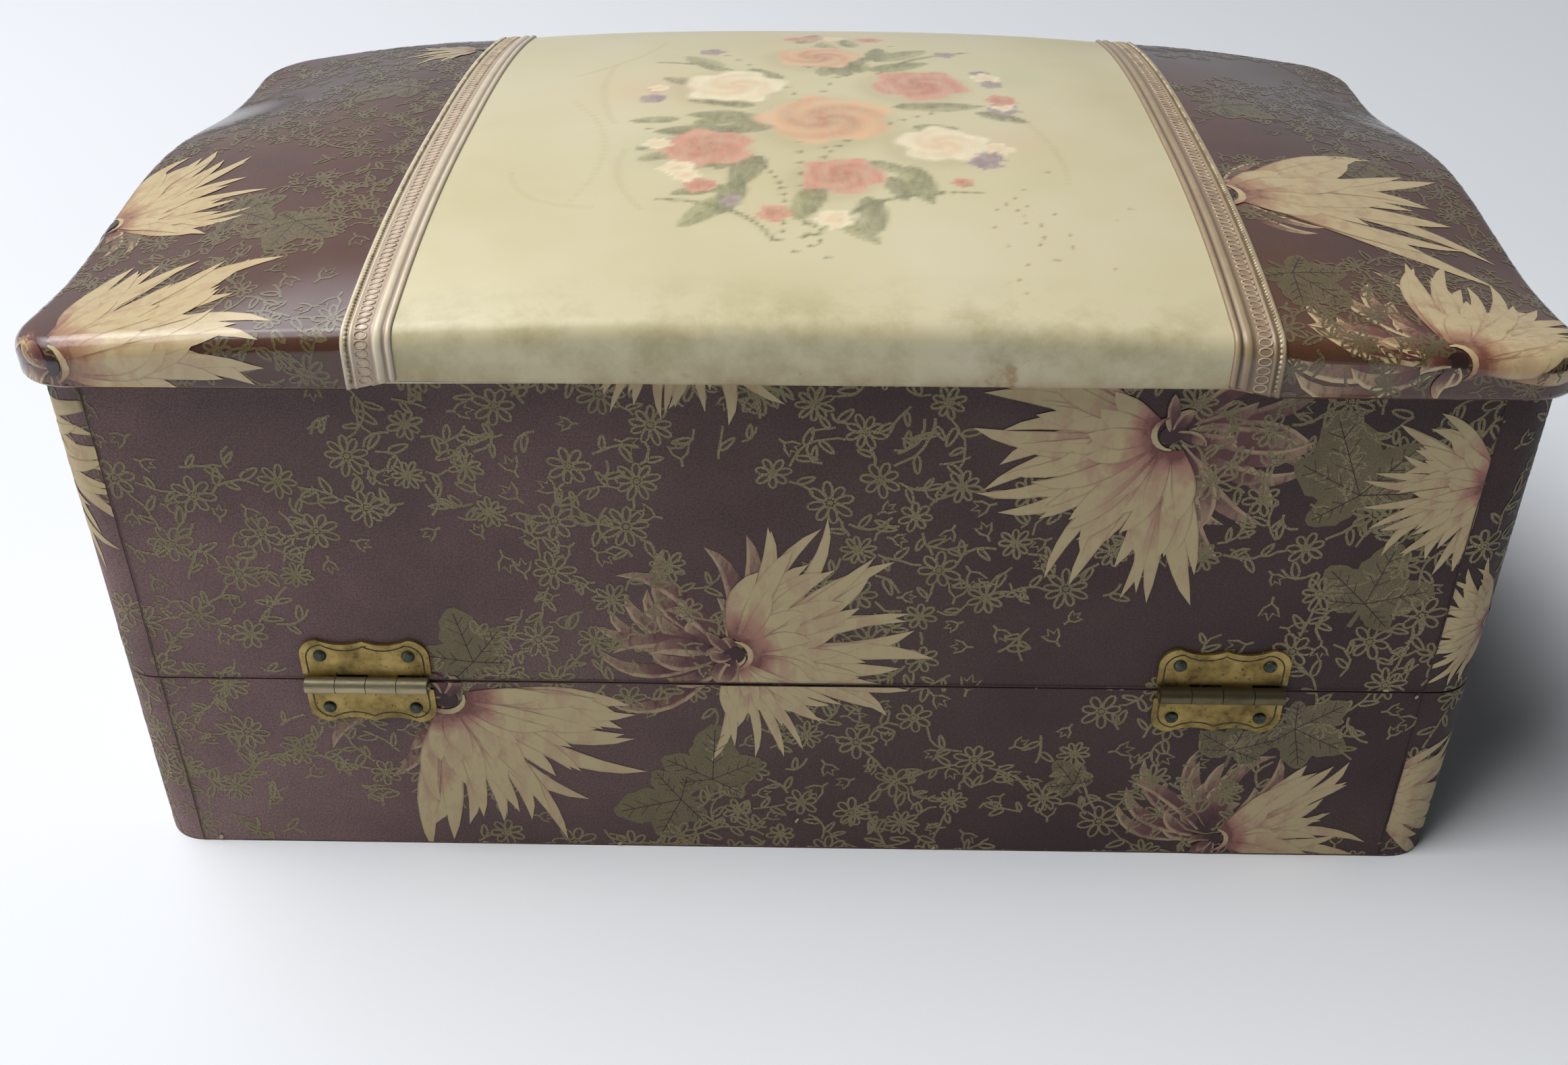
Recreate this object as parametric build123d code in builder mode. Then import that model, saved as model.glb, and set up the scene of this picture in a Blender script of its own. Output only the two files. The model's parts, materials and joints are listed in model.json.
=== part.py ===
from build123d import *

import math
import os

# Keepsake box with a deep hinged lid: pine boards covered in printed paper, and a padded
# lid top under sheet celluloid. All sizes are millimetres. The box stands on Z = 0 with
# its front at -Y, its hinges at +Y and its long side along X.

os.makedirs("parts", exist_ok=True)

# Box body
BODY_WIDTH = 280.0
BODY_DEPTH = 167.0
SEAM_Z = 46.0
RIM_Z = 115.0
SEAM_GAP = 0.4
CORNER_RADIUS = 9.5
PAPER = 0.4
WALL = 6.0
LINING = 1.0
FLOOR_BOARD = 4.0
TOP_BOARD = 3.0

# Back paper: a separate strip between the two returns of the wrap
BACK_PAPER_LEFT_X = -128.5
BACK_PAPER_RIGHT_X = 130.5

# Lid top: plan of the rolled rim, and heights above the rim's underside. The wadding is
# a little fuller towards the front between the bands, and towards the back at the ends.
OVERHANG = 3.5
RIM_CORNER_RADIUS = 13.0
CELLULOID = 0.8
ROLL_RADIUS = 4.0
SHOULDER = 11.5
CREST = 18.8
CREST_POWER = 2.6
MIDDLE_RISE = 3.0
MIDDLE_POWER = 2.5
FULLER_FRONT = 1.2
END_HUMP = 11.0
END_COVE = 5.6
END_CORNER = 7.0
COVE_AT = 0.66
END_POWER = 1.5
FULLER_END_BACK = 0.8
TRIM = 1.0
LID_STATIONS = 19
PAD_STATIONS = 11

# Embossed bands over the joints of the celluloid
RIGHT_BAND_OUTER_X = 80.1
LEFT_BAND_OUTER_X = -86.4
BAND_WIDTH = 9.3
BAND_PROUD = 0.7

# Cushions inside
PAD_GAP = 0.3
FLOOR_PAD_EDGE = 5.0
FLOOR_PAD_CROWN = 10.0
CEILING_PAD_EDGE = 5.0
CEILING_PAD_CROWN = 11.0
PAD_CORNER = 5.0
PAD_ROLL = 3.0
PAD_POWER = 4

# Hinges
HINGE_X = 87.0
LEAF_WIDTH = 26.4
LEAF_HEIGHT = 10.6
LEAF_CORNER = 4.0
LEAF_THICKNESS = 0.7
SCOOP_DEPTH = 1.2
BARREL_LENGTH = 25.2
BARREL_RADIUS = 1.75
BARREL_STANDOFF = 0.15
KNUCKLES = 4
KNUCKLE_GAP = 0.15
PIN_RADIUS = 0.8
PIN_CLEARANCE = 0.06
PIN_ROUND = 0.25
NAIL_X = 9.0
NAIL_Z = 6.7
NAIL_RADIUS = 0.55
NAIL_LENGTH = 5.5
NAIL_HEAD_RADIUS = 1.35
NAIL_HEAD = 0.6
NAIL_HEAD_ROUND = 0.48

# Front catch: a flat hook that swings on the lid and drops over a stud on the base
PIVOT_ABOVE_SEAM = 11.0
HOOK_REACH = 19.0
HOOK_WIDTH = 4.6
HOOK_THICKNESS = 0.9
HOOK_END_RADIUS = 3.4
HOOK_TAB_RADIUS = 1.7
ROSE_RADIUS = 5.5
ROSE_THICKNESS = 0.6
PIVOT_RADIUS = 1.1
STUD_RADIUS = 1.2
CATCH_CLEARANCE = 0.1
CATCH_HEAD_RADIUS = 2.2
CATCH_HEAD = 0.8
CATCH_HEAD_ROUND = 0.6
HOOK_CLEARANCE = 0.06
THROAT = STUD_RADIUS + 0.2
THROAT_ANGLE = 25.0

# Worked out from the driving sizes
BASE_TOP_Z = SEAM_Z - SEAM_GAP / 2
LID_FOOT_Z = SEAM_Z + SEAM_GAP / 2
BOARD_X = BODY_WIDTH / 2 - PAPER
BOARD_Y = BODY_DEPTH / 2 - PAPER
INNER_X = BOARD_X - WALL
INNER_Y = BOARD_Y - WALL
FLOOR_Z = PAPER + FLOOR_BOARD
BACK_Y = BODY_DEPTH / 2
FRONT_Y = -BODY_DEPTH / 2
BARREL_Y = BACK_Y + BARREL_STANDOFF + BARREL_RADIUS
BAND_LEFT_X = LEFT_BAND_OUTER_X + BAND_WIDTH / 2
BAND_RIGHT_X = RIGHT_BAND_OUTER_X - BAND_WIDTH / 2
RIM_X = BODY_WIDTH / 2 + OVERHANG
RIM_Y = BODY_DEPTH / 2 + OVERHANG


def save(part, name):
    """Label a finished piece and write it to its own file."""
    part.label = name
    export_step(part, f"parts/{name}.step")


def back_plane(x, z):
    """A plane on the back face: local x runs to the viewer's right, local y runs up."""
    return Plane(origin=(x, BACK_Y, z), x_dir=(-1, 0, 0), z_dir=(0, 1, 0))


def front_plane(x, z, proud=0.0):
    """A plane parallel to the front face: local x runs right, local y runs up."""
    return Plane(origin=(x, FRONT_Y - proud, z), x_dir=(1, 0, 0), z_dir=(0, -1, 0))


def facing(axis, value):
    """A plane square to an axis, facing along it."""
    direction = {"x": (1, 0, 0), "y": (0, 1, 0)}[axis]
    return Plane(origin=tuple(value * d for d in direction), z_dir=direction)


def nail_spots(side):
    """The two nail places of a hinge leaf, above (+1) or below (-1) the seam."""
    return [(-NAIL_X, side * NAIL_Z), (NAIL_X, side * NAIL_Z)]


# Boards

def wall_board(side, low_z, high_z, drill_side):
    """One side of a box body, with its pilot holes for nails, pin and stud."""
    with BuildPart() as board:
        with BuildSketch(Plane.XY.offset(low_z)):
            RectangleRounded(2 * BOARD_X, 2 * BOARD_Y, CORNER_RADIUS - PAPER)
        extrude(amount=high_z - low_z)
        if side == "back":
            split(bisect_by=facing("y", INNER_Y), keep=Keep.TOP)
            for hinge_x in (-HINGE_X, HINGE_X):
                with BuildSketch(back_plane(hinge_x, SEAM_Z)):
                    with Locations(*nail_spots(drill_side)):
                        Circle(NAIL_RADIUS)
                extrude(amount=-NAIL_LENGTH, mode=Mode.SUBTRACT)
        elif side == "front":
            split(bisect_by=facing("y", -INNER_Y), keep=Keep.BOTTOM)
            with BuildSketch(front_plane(0, catch_z(drill_side))):
                Circle(catch_radius(drill_side))
            extrude(amount=-NAIL_LENGTH, mode=Mode.SUBTRACT)
        else:
            split(bisect_by=facing("y", INNER_Y), keep=Keep.BOTTOM)
            split(bisect_by=facing("y", -INNER_Y), keep=Keep.TOP)
            if side == "right":
                split(bisect_by=facing("x", INNER_X), keep=Keep.TOP)
            else:
                split(bisect_by=facing("x", -INNER_X), keep=Keep.BOTTOM)
    return board.part


def catch_z(side):
    """Height of the pivot pin (+1) on the lid or the stud (-1) on the base."""
    pivot_z = SEAM_Z + PIVOT_ABOVE_SEAM
    return pivot_z if side > 0 else pivot_z - HOOK_REACH


def catch_radius(side):
    """Shank radius of the pivot pin (+1) or the stud (-1)."""
    return PIVOT_RADIUS if side > 0 else STUD_RADIUS


for body, low, high, half in (
    ("base", FLOOR_Z, BASE_TOP_Z, -1),
    ("lid", LID_FOOT_Z, RIM_Z, 1),
):
    for side in ("front", "back", "left", "right"):
        save(wall_board(side, low, high, half), f"{body}_{side}_board")

with BuildPart() as base_floor_board:
    with BuildSketch(Plane.XY.offset(PAPER)):
        RectangleRounded(2 * BOARD_X, 2 * BOARD_Y, CORNER_RADIUS - PAPER)
    extrude(amount=FLOOR_BOARD)
save(base_floor_board.part, "base_floor_board")

with BuildPart() as lid_top_board:
    with BuildSketch(Plane.XY.offset(RIM_Z)):
        RectangleRounded(2 * BOARD_X, 2 * BOARD_Y, CORNER_RADIUS - PAPER)
    extrude(amount=TOP_BOARD)
save(lid_top_board.part, "lid_top_board")


# Papers

def wrap_paper(low_z, high_z, drill_side):
    """Printed paper round the front and both ends, returned a little onto the back."""
    with BuildPart() as paper:
        with BuildSketch(Plane.XY.offset(low_z)):
            RectangleRounded(BODY_WIDTH, BODY_DEPTH, CORNER_RADIUS)
            RectangleRounded(2 * BOARD_X, 2 * BOARD_Y, CORNER_RADIUS - PAPER, mode=Mode.SUBTRACT)
            with Locations(((BACK_PAPER_LEFT_X + BACK_PAPER_RIGHT_X) / 2, BACK_Y)):
                Rectangle(BACK_PAPER_RIGHT_X - BACK_PAPER_LEFT_X, 4 * PAPER, mode=Mode.SUBTRACT)
        extrude(amount=high_z - low_z)
        with BuildSketch(front_plane(0, catch_z(drill_side))):
            Circle(catch_radius(drill_side))
        extrude(amount=-2 * PAPER, mode=Mode.SUBTRACT)
    return paper.part


def back_paper(low_z, high_z, drill_side):
    """The separate strip of printed paper between the returns of the wrap."""
    with BuildPart() as paper:
        with BuildSketch(Plane.XY.offset(low_z)):
            with Locations(((BACK_PAPER_LEFT_X + BACK_PAPER_RIGHT_X) / 2, BACK_Y)):
                Rectangle(
                    BACK_PAPER_RIGHT_X - BACK_PAPER_LEFT_X, PAPER, align=(Align.CENTER, Align.MAX)
                )
        extrude(amount=high_z - low_z)
        for hinge_x in (-HINGE_X, HINGE_X):
            with BuildSketch(back_plane(hinge_x, SEAM_Z)):
                with Locations(*nail_spots(drill_side)):
                    Circle(NAIL_RADIUS)
            extrude(amount=-2 * PAPER, mode=Mode.SUBTRACT)
    return paper.part


save(wrap_paper(PAPER, BASE_TOP_Z, -1), "base_wrap_paper")
save(back_paper(PAPER, BASE_TOP_Z, -1), "base_back_paper")
save(wrap_paper(LID_FOOT_Z, RIM_Z, 1), "lid_wrap_paper")
save(back_paper(LID_FOOT_Z, RIM_Z, 1), "lid_back_paper")

with BuildPart() as base_bottom_paper:
    with BuildSketch():
        RectangleRounded(BODY_WIDTH, BODY_DEPTH, CORNER_RADIUS)
    extrude(amount=PAPER)
save(base_bottom_paper.part, "base_bottom_paper")


# Satin linings on thin card, one to each wall

def lining(side, low_z, high_z):
    """One wall lining: the long ones run the full inner width, the end ones between them."""
    along_x = side in ("front", "back")
    sign = 1 if side in ("back", "right") else -1
    length = 2 * INNER_X if along_x else 2 * (INNER_Y - LINING)
    middle = sign * ((INNER_Y if along_x else INNER_X) - LINING / 2)
    with BuildPart() as card:
        with BuildSketch(Plane.XY.offset(low_z)):
            with Locations((0, middle) if along_x else (middle, 0)):
                Rectangle(length if along_x else LINING, LINING if along_x else length)
        extrude(amount=high_z - low_z)
    return card.part


for body, low, high in (("base", FLOOR_Z, BASE_TOP_Z), ("lid", LID_FOOT_Z, RIM_Z)):
    for side in ("front", "back", "left", "right"):
        save(lining(side, low, high), f"{body}_{side}_lining")


# Crowned solids: the lid top and the cushions share one way of making

def crowned_solid(half_x, half_y, corner, low_z, height, roll, stations, steps):
    """A rounded slab whose top follows height(x, y), with its top edge rolled over."""
    sections = []
    for x in stations:
        rows = [half_y * (2 * i / steps - 1) for i in range(steps + 1)]
        with BuildSketch(Plane.YZ.offset(x)) as section:
            with BuildLine():
                Spline(*[(y, low_z + height(x, y)) for y in rows])
                Polyline(
                    (half_y, low_z + height(x, half_y)),
                    (half_y, low_z),
                    (-half_y, low_z),
                    (-half_y, low_z + height(x, -half_y)),
                )
            make_face()
        sections.append(section.sketch.face())
    with BuildPart() as crowned:
        loft(sections=sections)
        with BuildSketch(Plane.XY.offset(low_z)):
            RectangleRounded(2 * half_x, 2 * half_y, corner)
        extrude(amount=RIM_Z, mode=Mode.INTERSECT)
        top = crowned.faces().filter_by(GeomType.PLANE, reverse=True).sort_by(Axis.Z)[-1]
        fillet(top.edges(), roll)
    return crowned.part


def even_stations(half_x, count):
    """Section places along X, a little past both ends so that the trim is clean."""
    reach = half_x + TRIM
    return [reach * (2 * i / (count - 1) - 1) for i in range(count)]


def lid_height(x, y):
    """Height of the celluloid above the rim's underside, before the edge is rolled over.

    Between the bands the lid is a low crown. Towards each end it falls to an edge that
    has a hump in the middle, a cove on each side of it and a slight ear at the corners.
    """
    v = min(abs(y) / RIM_Y, 1.0)
    crown = SHOULDER + (CREST - SHOULDER) * (1 - v**CREST_POWER) - FULLER_FRONT * y / RIM_Y
    half_middle = (RIGHT_BAND_OUTER_X - LEFT_BAND_OUTER_X) / 2
    if abs(x) < half_middle:
        crown += MIDDLE_RISE * (1 - (abs(x) / half_middle) ** MIDDLE_POWER)
    if v < COVE_AT:
        end = END_COVE + (END_HUMP - END_COVE) * (0.5 + 0.5 * math.cos(math.pi * v / COVE_AT))
    else:
        rise = (v - COVE_AT) / (1 - COVE_AT)
        end = END_COVE + (END_CORNER - END_COVE) * (0.5 - 0.5 * math.cos(math.pi * rise))
    end += FULLER_END_BACK * y / RIM_Y
    share = max(0.0, abs(x) - half_middle) / (RIM_X - half_middle)
    return crown + (end - crown) * share**END_POWER


def lid_top(grow):
    """The lid top's outer form, grown outwards by a small amount or shrunk if negative."""
    return crowned_solid(
        RIM_X + grow,
        RIM_Y + grow,
        RIM_CORNER_RADIUS + grow,
        RIM_Z - min(grow, 0.0),
        lambda x, y: lid_height(x, y) + grow + min(grow, 0.0),
        ROLL_RADIUS + grow,
        even_stations(RIM_X + grow, LID_STATIONS),
        LID_STATIONS + 1,
    )


outer_form = lid_top(0.0)
inner_form = lid_top(-CELLULOID)
band_form = lid_top(BAND_PROUD)

with BuildPart() as board_hole:
    with BuildSketch(Plane.XY.offset(RIM_Z - TRIM)):
        RectangleRounded(BODY_WIDTH, BODY_DEPTH, CORNER_RADIUS)
    extrude(amount=TRIM + CELLULOID)

with BuildPart() as board_space:
    with BuildSketch(Plane.XY.offset(RIM_Z - TRIM)):
        RectangleRounded(2 * BOARD_X, 2 * BOARD_Y, CORNER_RADIUS - PAPER)
    extrude(amount=TRIM + TOP_BOARD)

with BuildPart() as lid_wadding:
    add(inner_form)
    add(board_space.part, mode=Mode.SUBTRACT)
save(lid_wadding.part, "lid_wadding")


def celluloid_panel(low_x, high_x):
    """A sheet of celluloid drawn over the wadding and turned under the rim."""
    with BuildPart() as panel:
        add(outer_form)
        add(inner_form, mode=Mode.SUBTRACT)
        add(board_hole.part, mode=Mode.SUBTRACT)
        if low_x is not None:
            split(bisect_by=facing("x", low_x), keep=Keep.TOP)
        if high_x is not None:
            split(bisect_by=facing("x", high_x), keep=Keep.BOTTOM)
    return panel.part


save(celluloid_panel(None, BAND_LEFT_X), "left_celluloid_panel")
save(celluloid_panel(BAND_LEFT_X, BAND_RIGHT_X), "centre_celluloid_panel")
save(celluloid_panel(BAND_RIGHT_X, None), "right_celluloid_panel")


def band(middle_x):
    """An embossed strip laid over the joint of two panels, from rim to rim."""
    with BuildPart() as strip:
        add(band_form)
        add(outer_form, mode=Mode.SUBTRACT)
        split(bisect_by=facing("x", middle_x - BAND_WIDTH / 2), keep=Keep.TOP)
        split(bisect_by=facing("x", middle_x + BAND_WIDTH / 2), keep=Keep.BOTTOM)
    return strip.part


save(band(BAND_LEFT_X), "left_band")
save(band(BAND_RIGHT_X), "right_band")


# Cushions

def pad_height(half_x, half_y, edge, crown):
    """A cushion's crown: full height over the middle, falling off to its edges."""

    def height(x, y):
        u = min(abs(x) / half_x, 1.0)
        v = min(abs(y) / half_y, 1.0)
        return edge + (crown - edge) * (1 - u**PAD_POWER) * (1 - v**PAD_POWER)

    return height


def cushion(half_x, half_y, edge, crown):
    """A satin-covered pad, flat underneath and crowned above, standing on Z = 0."""
    return crowned_solid(
        half_x,
        half_y,
        PAD_CORNER,
        0.0,
        pad_height(half_x, half_y, edge, crown),
        PAD_ROLL,
        even_stations(half_x, PAD_STATIONS),
        PAD_STATIONS - 1,
    )


PAD_X = INNER_X - LINING - PAD_GAP
PAD_Y = INNER_Y - LINING - PAD_GAP

with BuildPart() as base_floor_pad:
    add(Pos(0, 0, FLOOR_Z) * cushion(PAD_X, PAD_Y, FLOOR_PAD_EDGE, FLOOR_PAD_CROWN))
save(base_floor_pad.part, "base_floor_pad")

with BuildPart() as lid_ceiling_pad:
    add(Pos(0, 0, RIM_Z) * Rot(180, 0, 0) * cushion(PAD_X, PAD_Y, CEILING_PAD_EDGE, CEILING_PAD_CROWN))
save(lid_ceiling_pad.part, "lid_ceiling_pad")


# Hinges

def hinge_leaf(hinge_x, side):
    """A stamped brass leaf with its rolled knuckles, above (+1) or below (-1) the seam."""
    half = LEAF_WIDTH / 2
    corner_x = half - LEAF_CORNER
    inner = BARREL_RADIUS + KNUCKLE_GAP
    pitch = BARREL_LENGTH / KNUCKLES
    bore = PIN_RADIUS + (PIN_CLEARANCE if side > 0 else 0.0)
    own = range(0, KNUCKLES, 2) if side < 0 else range(1, KNUCKLES, 2)
    starts = [k * pitch - BARREL_LENGTH / 2 + KNUCKLE_GAP / 2 for k in own]
    with BuildPart() as leaf:
        with BuildSketch(back_plane(hinge_x, SEAM_Z)):
            with BuildLine():
                for s in (-1, 1):
                    Line((s * half, side * inner), (s * half, side * (LEAF_HEIGHT - LEAF_CORNER)))
                    ThreePointArc(
                        (s * half, side * (LEAF_HEIGHT - LEAF_CORNER)),
                        (
                            s * (corner_x + LEAF_CORNER * math.sqrt(0.5)),
                            side * (LEAF_HEIGHT - LEAF_CORNER * (1 - math.sqrt(0.5))),
                        ),
                        (s * corner_x, side * LEAF_HEIGHT),
                    )
                    ThreePointArc(
                        (s * corner_x, side * LEAF_HEIGHT),
                        (s * corner_x / 2, side * (LEAF_HEIGHT - SCOOP_DEPTH)),
                        (0, side * (LEAF_HEIGHT - SCOOP_DEPTH / 4)),
                    )
                Line((-half, side * inner), (half, side * inner))
            make_face()
            with Locations(*nail_spots(side)):
                Circle(NAIL_RADIUS, mode=Mode.SUBTRACT)
            for start in starts:
                with Locations((-(start + pitch / 2 - KNUCKLE_GAP / 2), side * inner / 2)):
                    Rectangle(pitch - KNUCKLE_GAP, inner)
        extrude(amount=LEAF_THICKNESS)
        for start in starts:
            with BuildSketch(Plane.YZ.offset(hinge_x + start)):
                with Locations((BARREL_Y, SEAM_Z)):
                    Circle(BARREL_RADIUS)
            extrude(amount=pitch - KNUCKLE_GAP)
        with BuildSketch(Plane.YZ.offset(hinge_x - BARREL_LENGTH / 2)):
            with Locations((BARREL_Y, SEAM_Z)):
                Circle(bore)
        extrude(amount=BARREL_LENGTH, mode=Mode.SUBTRACT)
    return leaf.part


def hinge_pin(hinge_x):
    """The wire pin through the knuckles, its ends just showing."""
    length = BARREL_LENGTH + LEAF_THICKNESS
    with BuildPart() as pin:
        with BuildSketch(Plane.YZ.offset(hinge_x - length / 2)):
            with Locations((BARREL_Y, SEAM_Z)):
                Circle(PIN_RADIUS)
        extrude(amount=length)
        fillet(pin.edges().group_by(Axis.X)[0] + pin.edges().group_by(Axis.X)[-1], PIN_ROUND)
    return pin.part


def hinge_nails(hinge_x, side):
    """Two round-headed nails through a leaf, the paper and into the board."""
    with BuildPart() as nails:
        with BuildSketch(back_plane(hinge_x, SEAM_Z)):
            with Locations(*nail_spots(side)):
                Circle(NAIL_RADIUS)
        extrude(amount=-NAIL_LENGTH)
        with BuildSketch(back_plane(hinge_x, SEAM_Z)):
            with Locations(*nail_spots(side)):
                Circle(NAIL_RADIUS)
        extrude(amount=LEAF_THICKNESS)
        with BuildSketch(back_plane(hinge_x, SEAM_Z).offset(LEAF_THICKNESS)):
            with Locations(*nail_spots(side)):
                Circle(NAIL_HEAD_RADIUS)
        extrude(amount=NAIL_HEAD)
        fillet(nails.edges().group_by(Axis.Y)[-1], NAIL_HEAD_ROUND)
    return nails.part


for hand, hinge_x in (("left", -HINGE_X), ("right", HINGE_X)):
    for level, side in (("upper", 1), ("lower", -1)):
        save(hinge_leaf(hinge_x, side), f"{hand}_hinge_{level}_leaf")
        save(hinge_nails(hinge_x, side), f"{hand}_hinge_{level}_nails")
    save(hinge_pin(hinge_x), f"{hand}_hinge_pin")


# Front catch

def rose(side):
    """A round plate under the hook (+1) or the stud (-1)."""
    with BuildPart() as plate:
        with BuildSketch(front_plane(0, catch_z(side))):
            Circle(ROSE_RADIUS)
            Circle(catch_radius(side), mode=Mode.SUBTRACT)
        extrude(amount=ROSE_THICKNESS)
        rim = plate.edges().group_by(Axis.Y)[0].sort_by(SortBy.LENGTH)[-1]
        fillet(rim, ROSE_THICKNESS / 2)
    return plate.part


def headed_pin(side):
    """The pivot pin (+1) or the stud (-1): a shank in the board and a head over the hook."""
    shank = ROSE_THICKNESS + HOOK_THICKNESS + 2 * CATCH_CLEARANCE
    with BuildPart() as pin:
        with BuildSketch(front_plane(0, catch_z(side), -NAIL_LENGTH)):
            Circle(catch_radius(side))
        extrude(amount=NAIL_LENGTH + shank)
        with BuildSketch(front_plane(0, catch_z(side), shank)):
            Circle(CATCH_HEAD_RADIUS)
        extrude(amount=CATCH_HEAD)
        fillet(pin.edges().group_by(Axis.Y)[0], CATCH_HEAD_ROUND)
    return pin.part


save(rose(1), "catch_hook_rose")
save(rose(-1), "catch_stud_rose")
save(headed_pin(1), "catch_pivot_pin")
save(headed_pin(-1), "catch_stud")

with BuildPart() as catch_hook:
    with BuildSketch(front_plane(0, catch_z(1), ROSE_THICKNESS + CATCH_CLEARANCE)):
        with Locations((HOOK_REACH / 2, 0)):
            SlotCenterToCenter(HOOK_REACH, HOOK_WIDTH)
        with Locations((HOOK_REACH, 0)):
            Circle(HOOK_END_RADIUS)
        with Locations((HOOK_REACH + HOOK_END_RADIUS + HOOK_TAB_RADIUS / 2, 0)):
            Circle(HOOK_TAB_RADIUS)
        with BuildLine():
            outer = CenterArc((0, 0), HOOK_REACH + THROAT, -THROAT_ANGLE, THROAT_ANGLE)
            inner = CenterArc((0, 0), HOOK_REACH - THROAT, -THROAT_ANGLE, THROAT_ANGLE)
            Line(outer @ 0, inner @ 0)
            Line(outer @ 1, inner @ 1)
        make_face(mode=Mode.SUBTRACT)
        with Locations((HOOK_REACH, 0)):
            Circle(THROAT, mode=Mode.SUBTRACT)
        Circle(PIVOT_RADIUS + HOOK_CLEARANCE, mode=Mode.SUBTRACT)
    extrude(amount=HOOK_THICKNESS)
save(catch_hook.part, "catch_hook")
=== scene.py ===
# %% [markdown]
# # A keepsake box with a celluloid top
# The box is pine boards covered in printed paper. Its lid is padded and has three panels
# of sheet celluloid, two dark ones at the ends and an ivory one with a painted spray.
# The boards, papers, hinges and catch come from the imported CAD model, in metres. This
# lesson dresses them: it makes the celluloid, the bands, the print, the satin and the
# finishes, and it lights them softly.

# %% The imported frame
import json
import math

import bmesh
import bpy
import numpy as np
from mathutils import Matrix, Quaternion, Vector


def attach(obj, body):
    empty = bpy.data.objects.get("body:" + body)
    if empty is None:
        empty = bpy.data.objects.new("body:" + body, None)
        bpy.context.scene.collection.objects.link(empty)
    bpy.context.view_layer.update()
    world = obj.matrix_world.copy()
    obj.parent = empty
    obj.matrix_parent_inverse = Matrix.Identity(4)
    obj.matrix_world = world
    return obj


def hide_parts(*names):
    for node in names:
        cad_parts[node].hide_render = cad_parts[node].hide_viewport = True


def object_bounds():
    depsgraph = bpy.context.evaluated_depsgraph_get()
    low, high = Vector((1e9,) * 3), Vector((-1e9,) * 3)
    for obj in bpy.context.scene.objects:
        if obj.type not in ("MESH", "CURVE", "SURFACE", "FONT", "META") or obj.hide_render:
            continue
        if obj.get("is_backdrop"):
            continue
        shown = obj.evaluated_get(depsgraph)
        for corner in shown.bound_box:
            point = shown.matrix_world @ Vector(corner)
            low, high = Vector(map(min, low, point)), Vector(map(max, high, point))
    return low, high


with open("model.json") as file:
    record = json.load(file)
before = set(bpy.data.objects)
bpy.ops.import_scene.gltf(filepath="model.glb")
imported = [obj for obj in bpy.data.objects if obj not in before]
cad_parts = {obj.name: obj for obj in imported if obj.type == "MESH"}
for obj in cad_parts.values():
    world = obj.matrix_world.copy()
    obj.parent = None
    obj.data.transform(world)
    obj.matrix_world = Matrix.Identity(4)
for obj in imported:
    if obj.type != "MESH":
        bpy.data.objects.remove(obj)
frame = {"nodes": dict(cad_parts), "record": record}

cad_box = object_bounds()
print("nodes in the frame:", len(frame["nodes"]))

# %% [markdown]
# ## The camera
# The photograph looks down on the back of the box, so the camera stands behind it at +Y.
# It stood close, so the lens is a moderately wide one and the far edge of the lid looks
# shorter than the near one. The camera is turned by a yaw from straight ahead, a pitch
# downwards and a very small roll.

# %% The camera
FRAME_PIXELS = 2324
FOCAL_PIXELS = 2330
SENSOR = 36.0
CAMERA_PLACE = (-0.00372, 0.33494, 0.24909)
YAW, PITCH, ROLL_ANGLE = (math.radians(a) for a in (1.23, 33.39, 0.08))

camera_data = bpy.data.cameras.new("camera")
camera_data.sensor_width = SENSOR
camera_data.lens = SENSOR * FOCAL_PIXELS / FRAME_PIXELS
camera = bpy.data.objects.new("camera", camera_data)
bpy.context.collection.objects.link(camera)
camera.location = CAMERA_PLACE
ahead = Vector((math.sin(YAW) * math.cos(PITCH), -math.cos(YAW) * math.cos(PITCH), -math.sin(PITCH)))
camera.rotation_mode = "QUATERNION"
camera.rotation_quaternion = Quaternion(ahead, ROLL_ANGLE) @ ahead.to_track_quat("-Z", "Y")
bpy.context.scene.camera = camera
bpy.context.scene.view_settings.view_transform = "Standard"
print("lens in mm:", round(camera_data.lens, 2))

# %% [markdown]
# ## Finishes
# Every finish is a small tree of shader nodes. A helper keeps that short: it adds a node,
# sets its sockets or links them, and has one method for each pattern used often. Object
# coordinates are metres in the box's own frame, so a noise of scale 1000 has features of
# about one millimetre.

# %% A helper for finishes
def tone(code):
    """A colour written as six hex digits, made linear for the shader."""
    parts = [int(code[i:i + 2], 16) / 255 for i in (0, 2, 4)]
    return tuple(c / 12.92 if c <= 0.04045 else ((c + 0.055) / 1.055) ** 2.4 for c in parts) + (1.0,)


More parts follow.
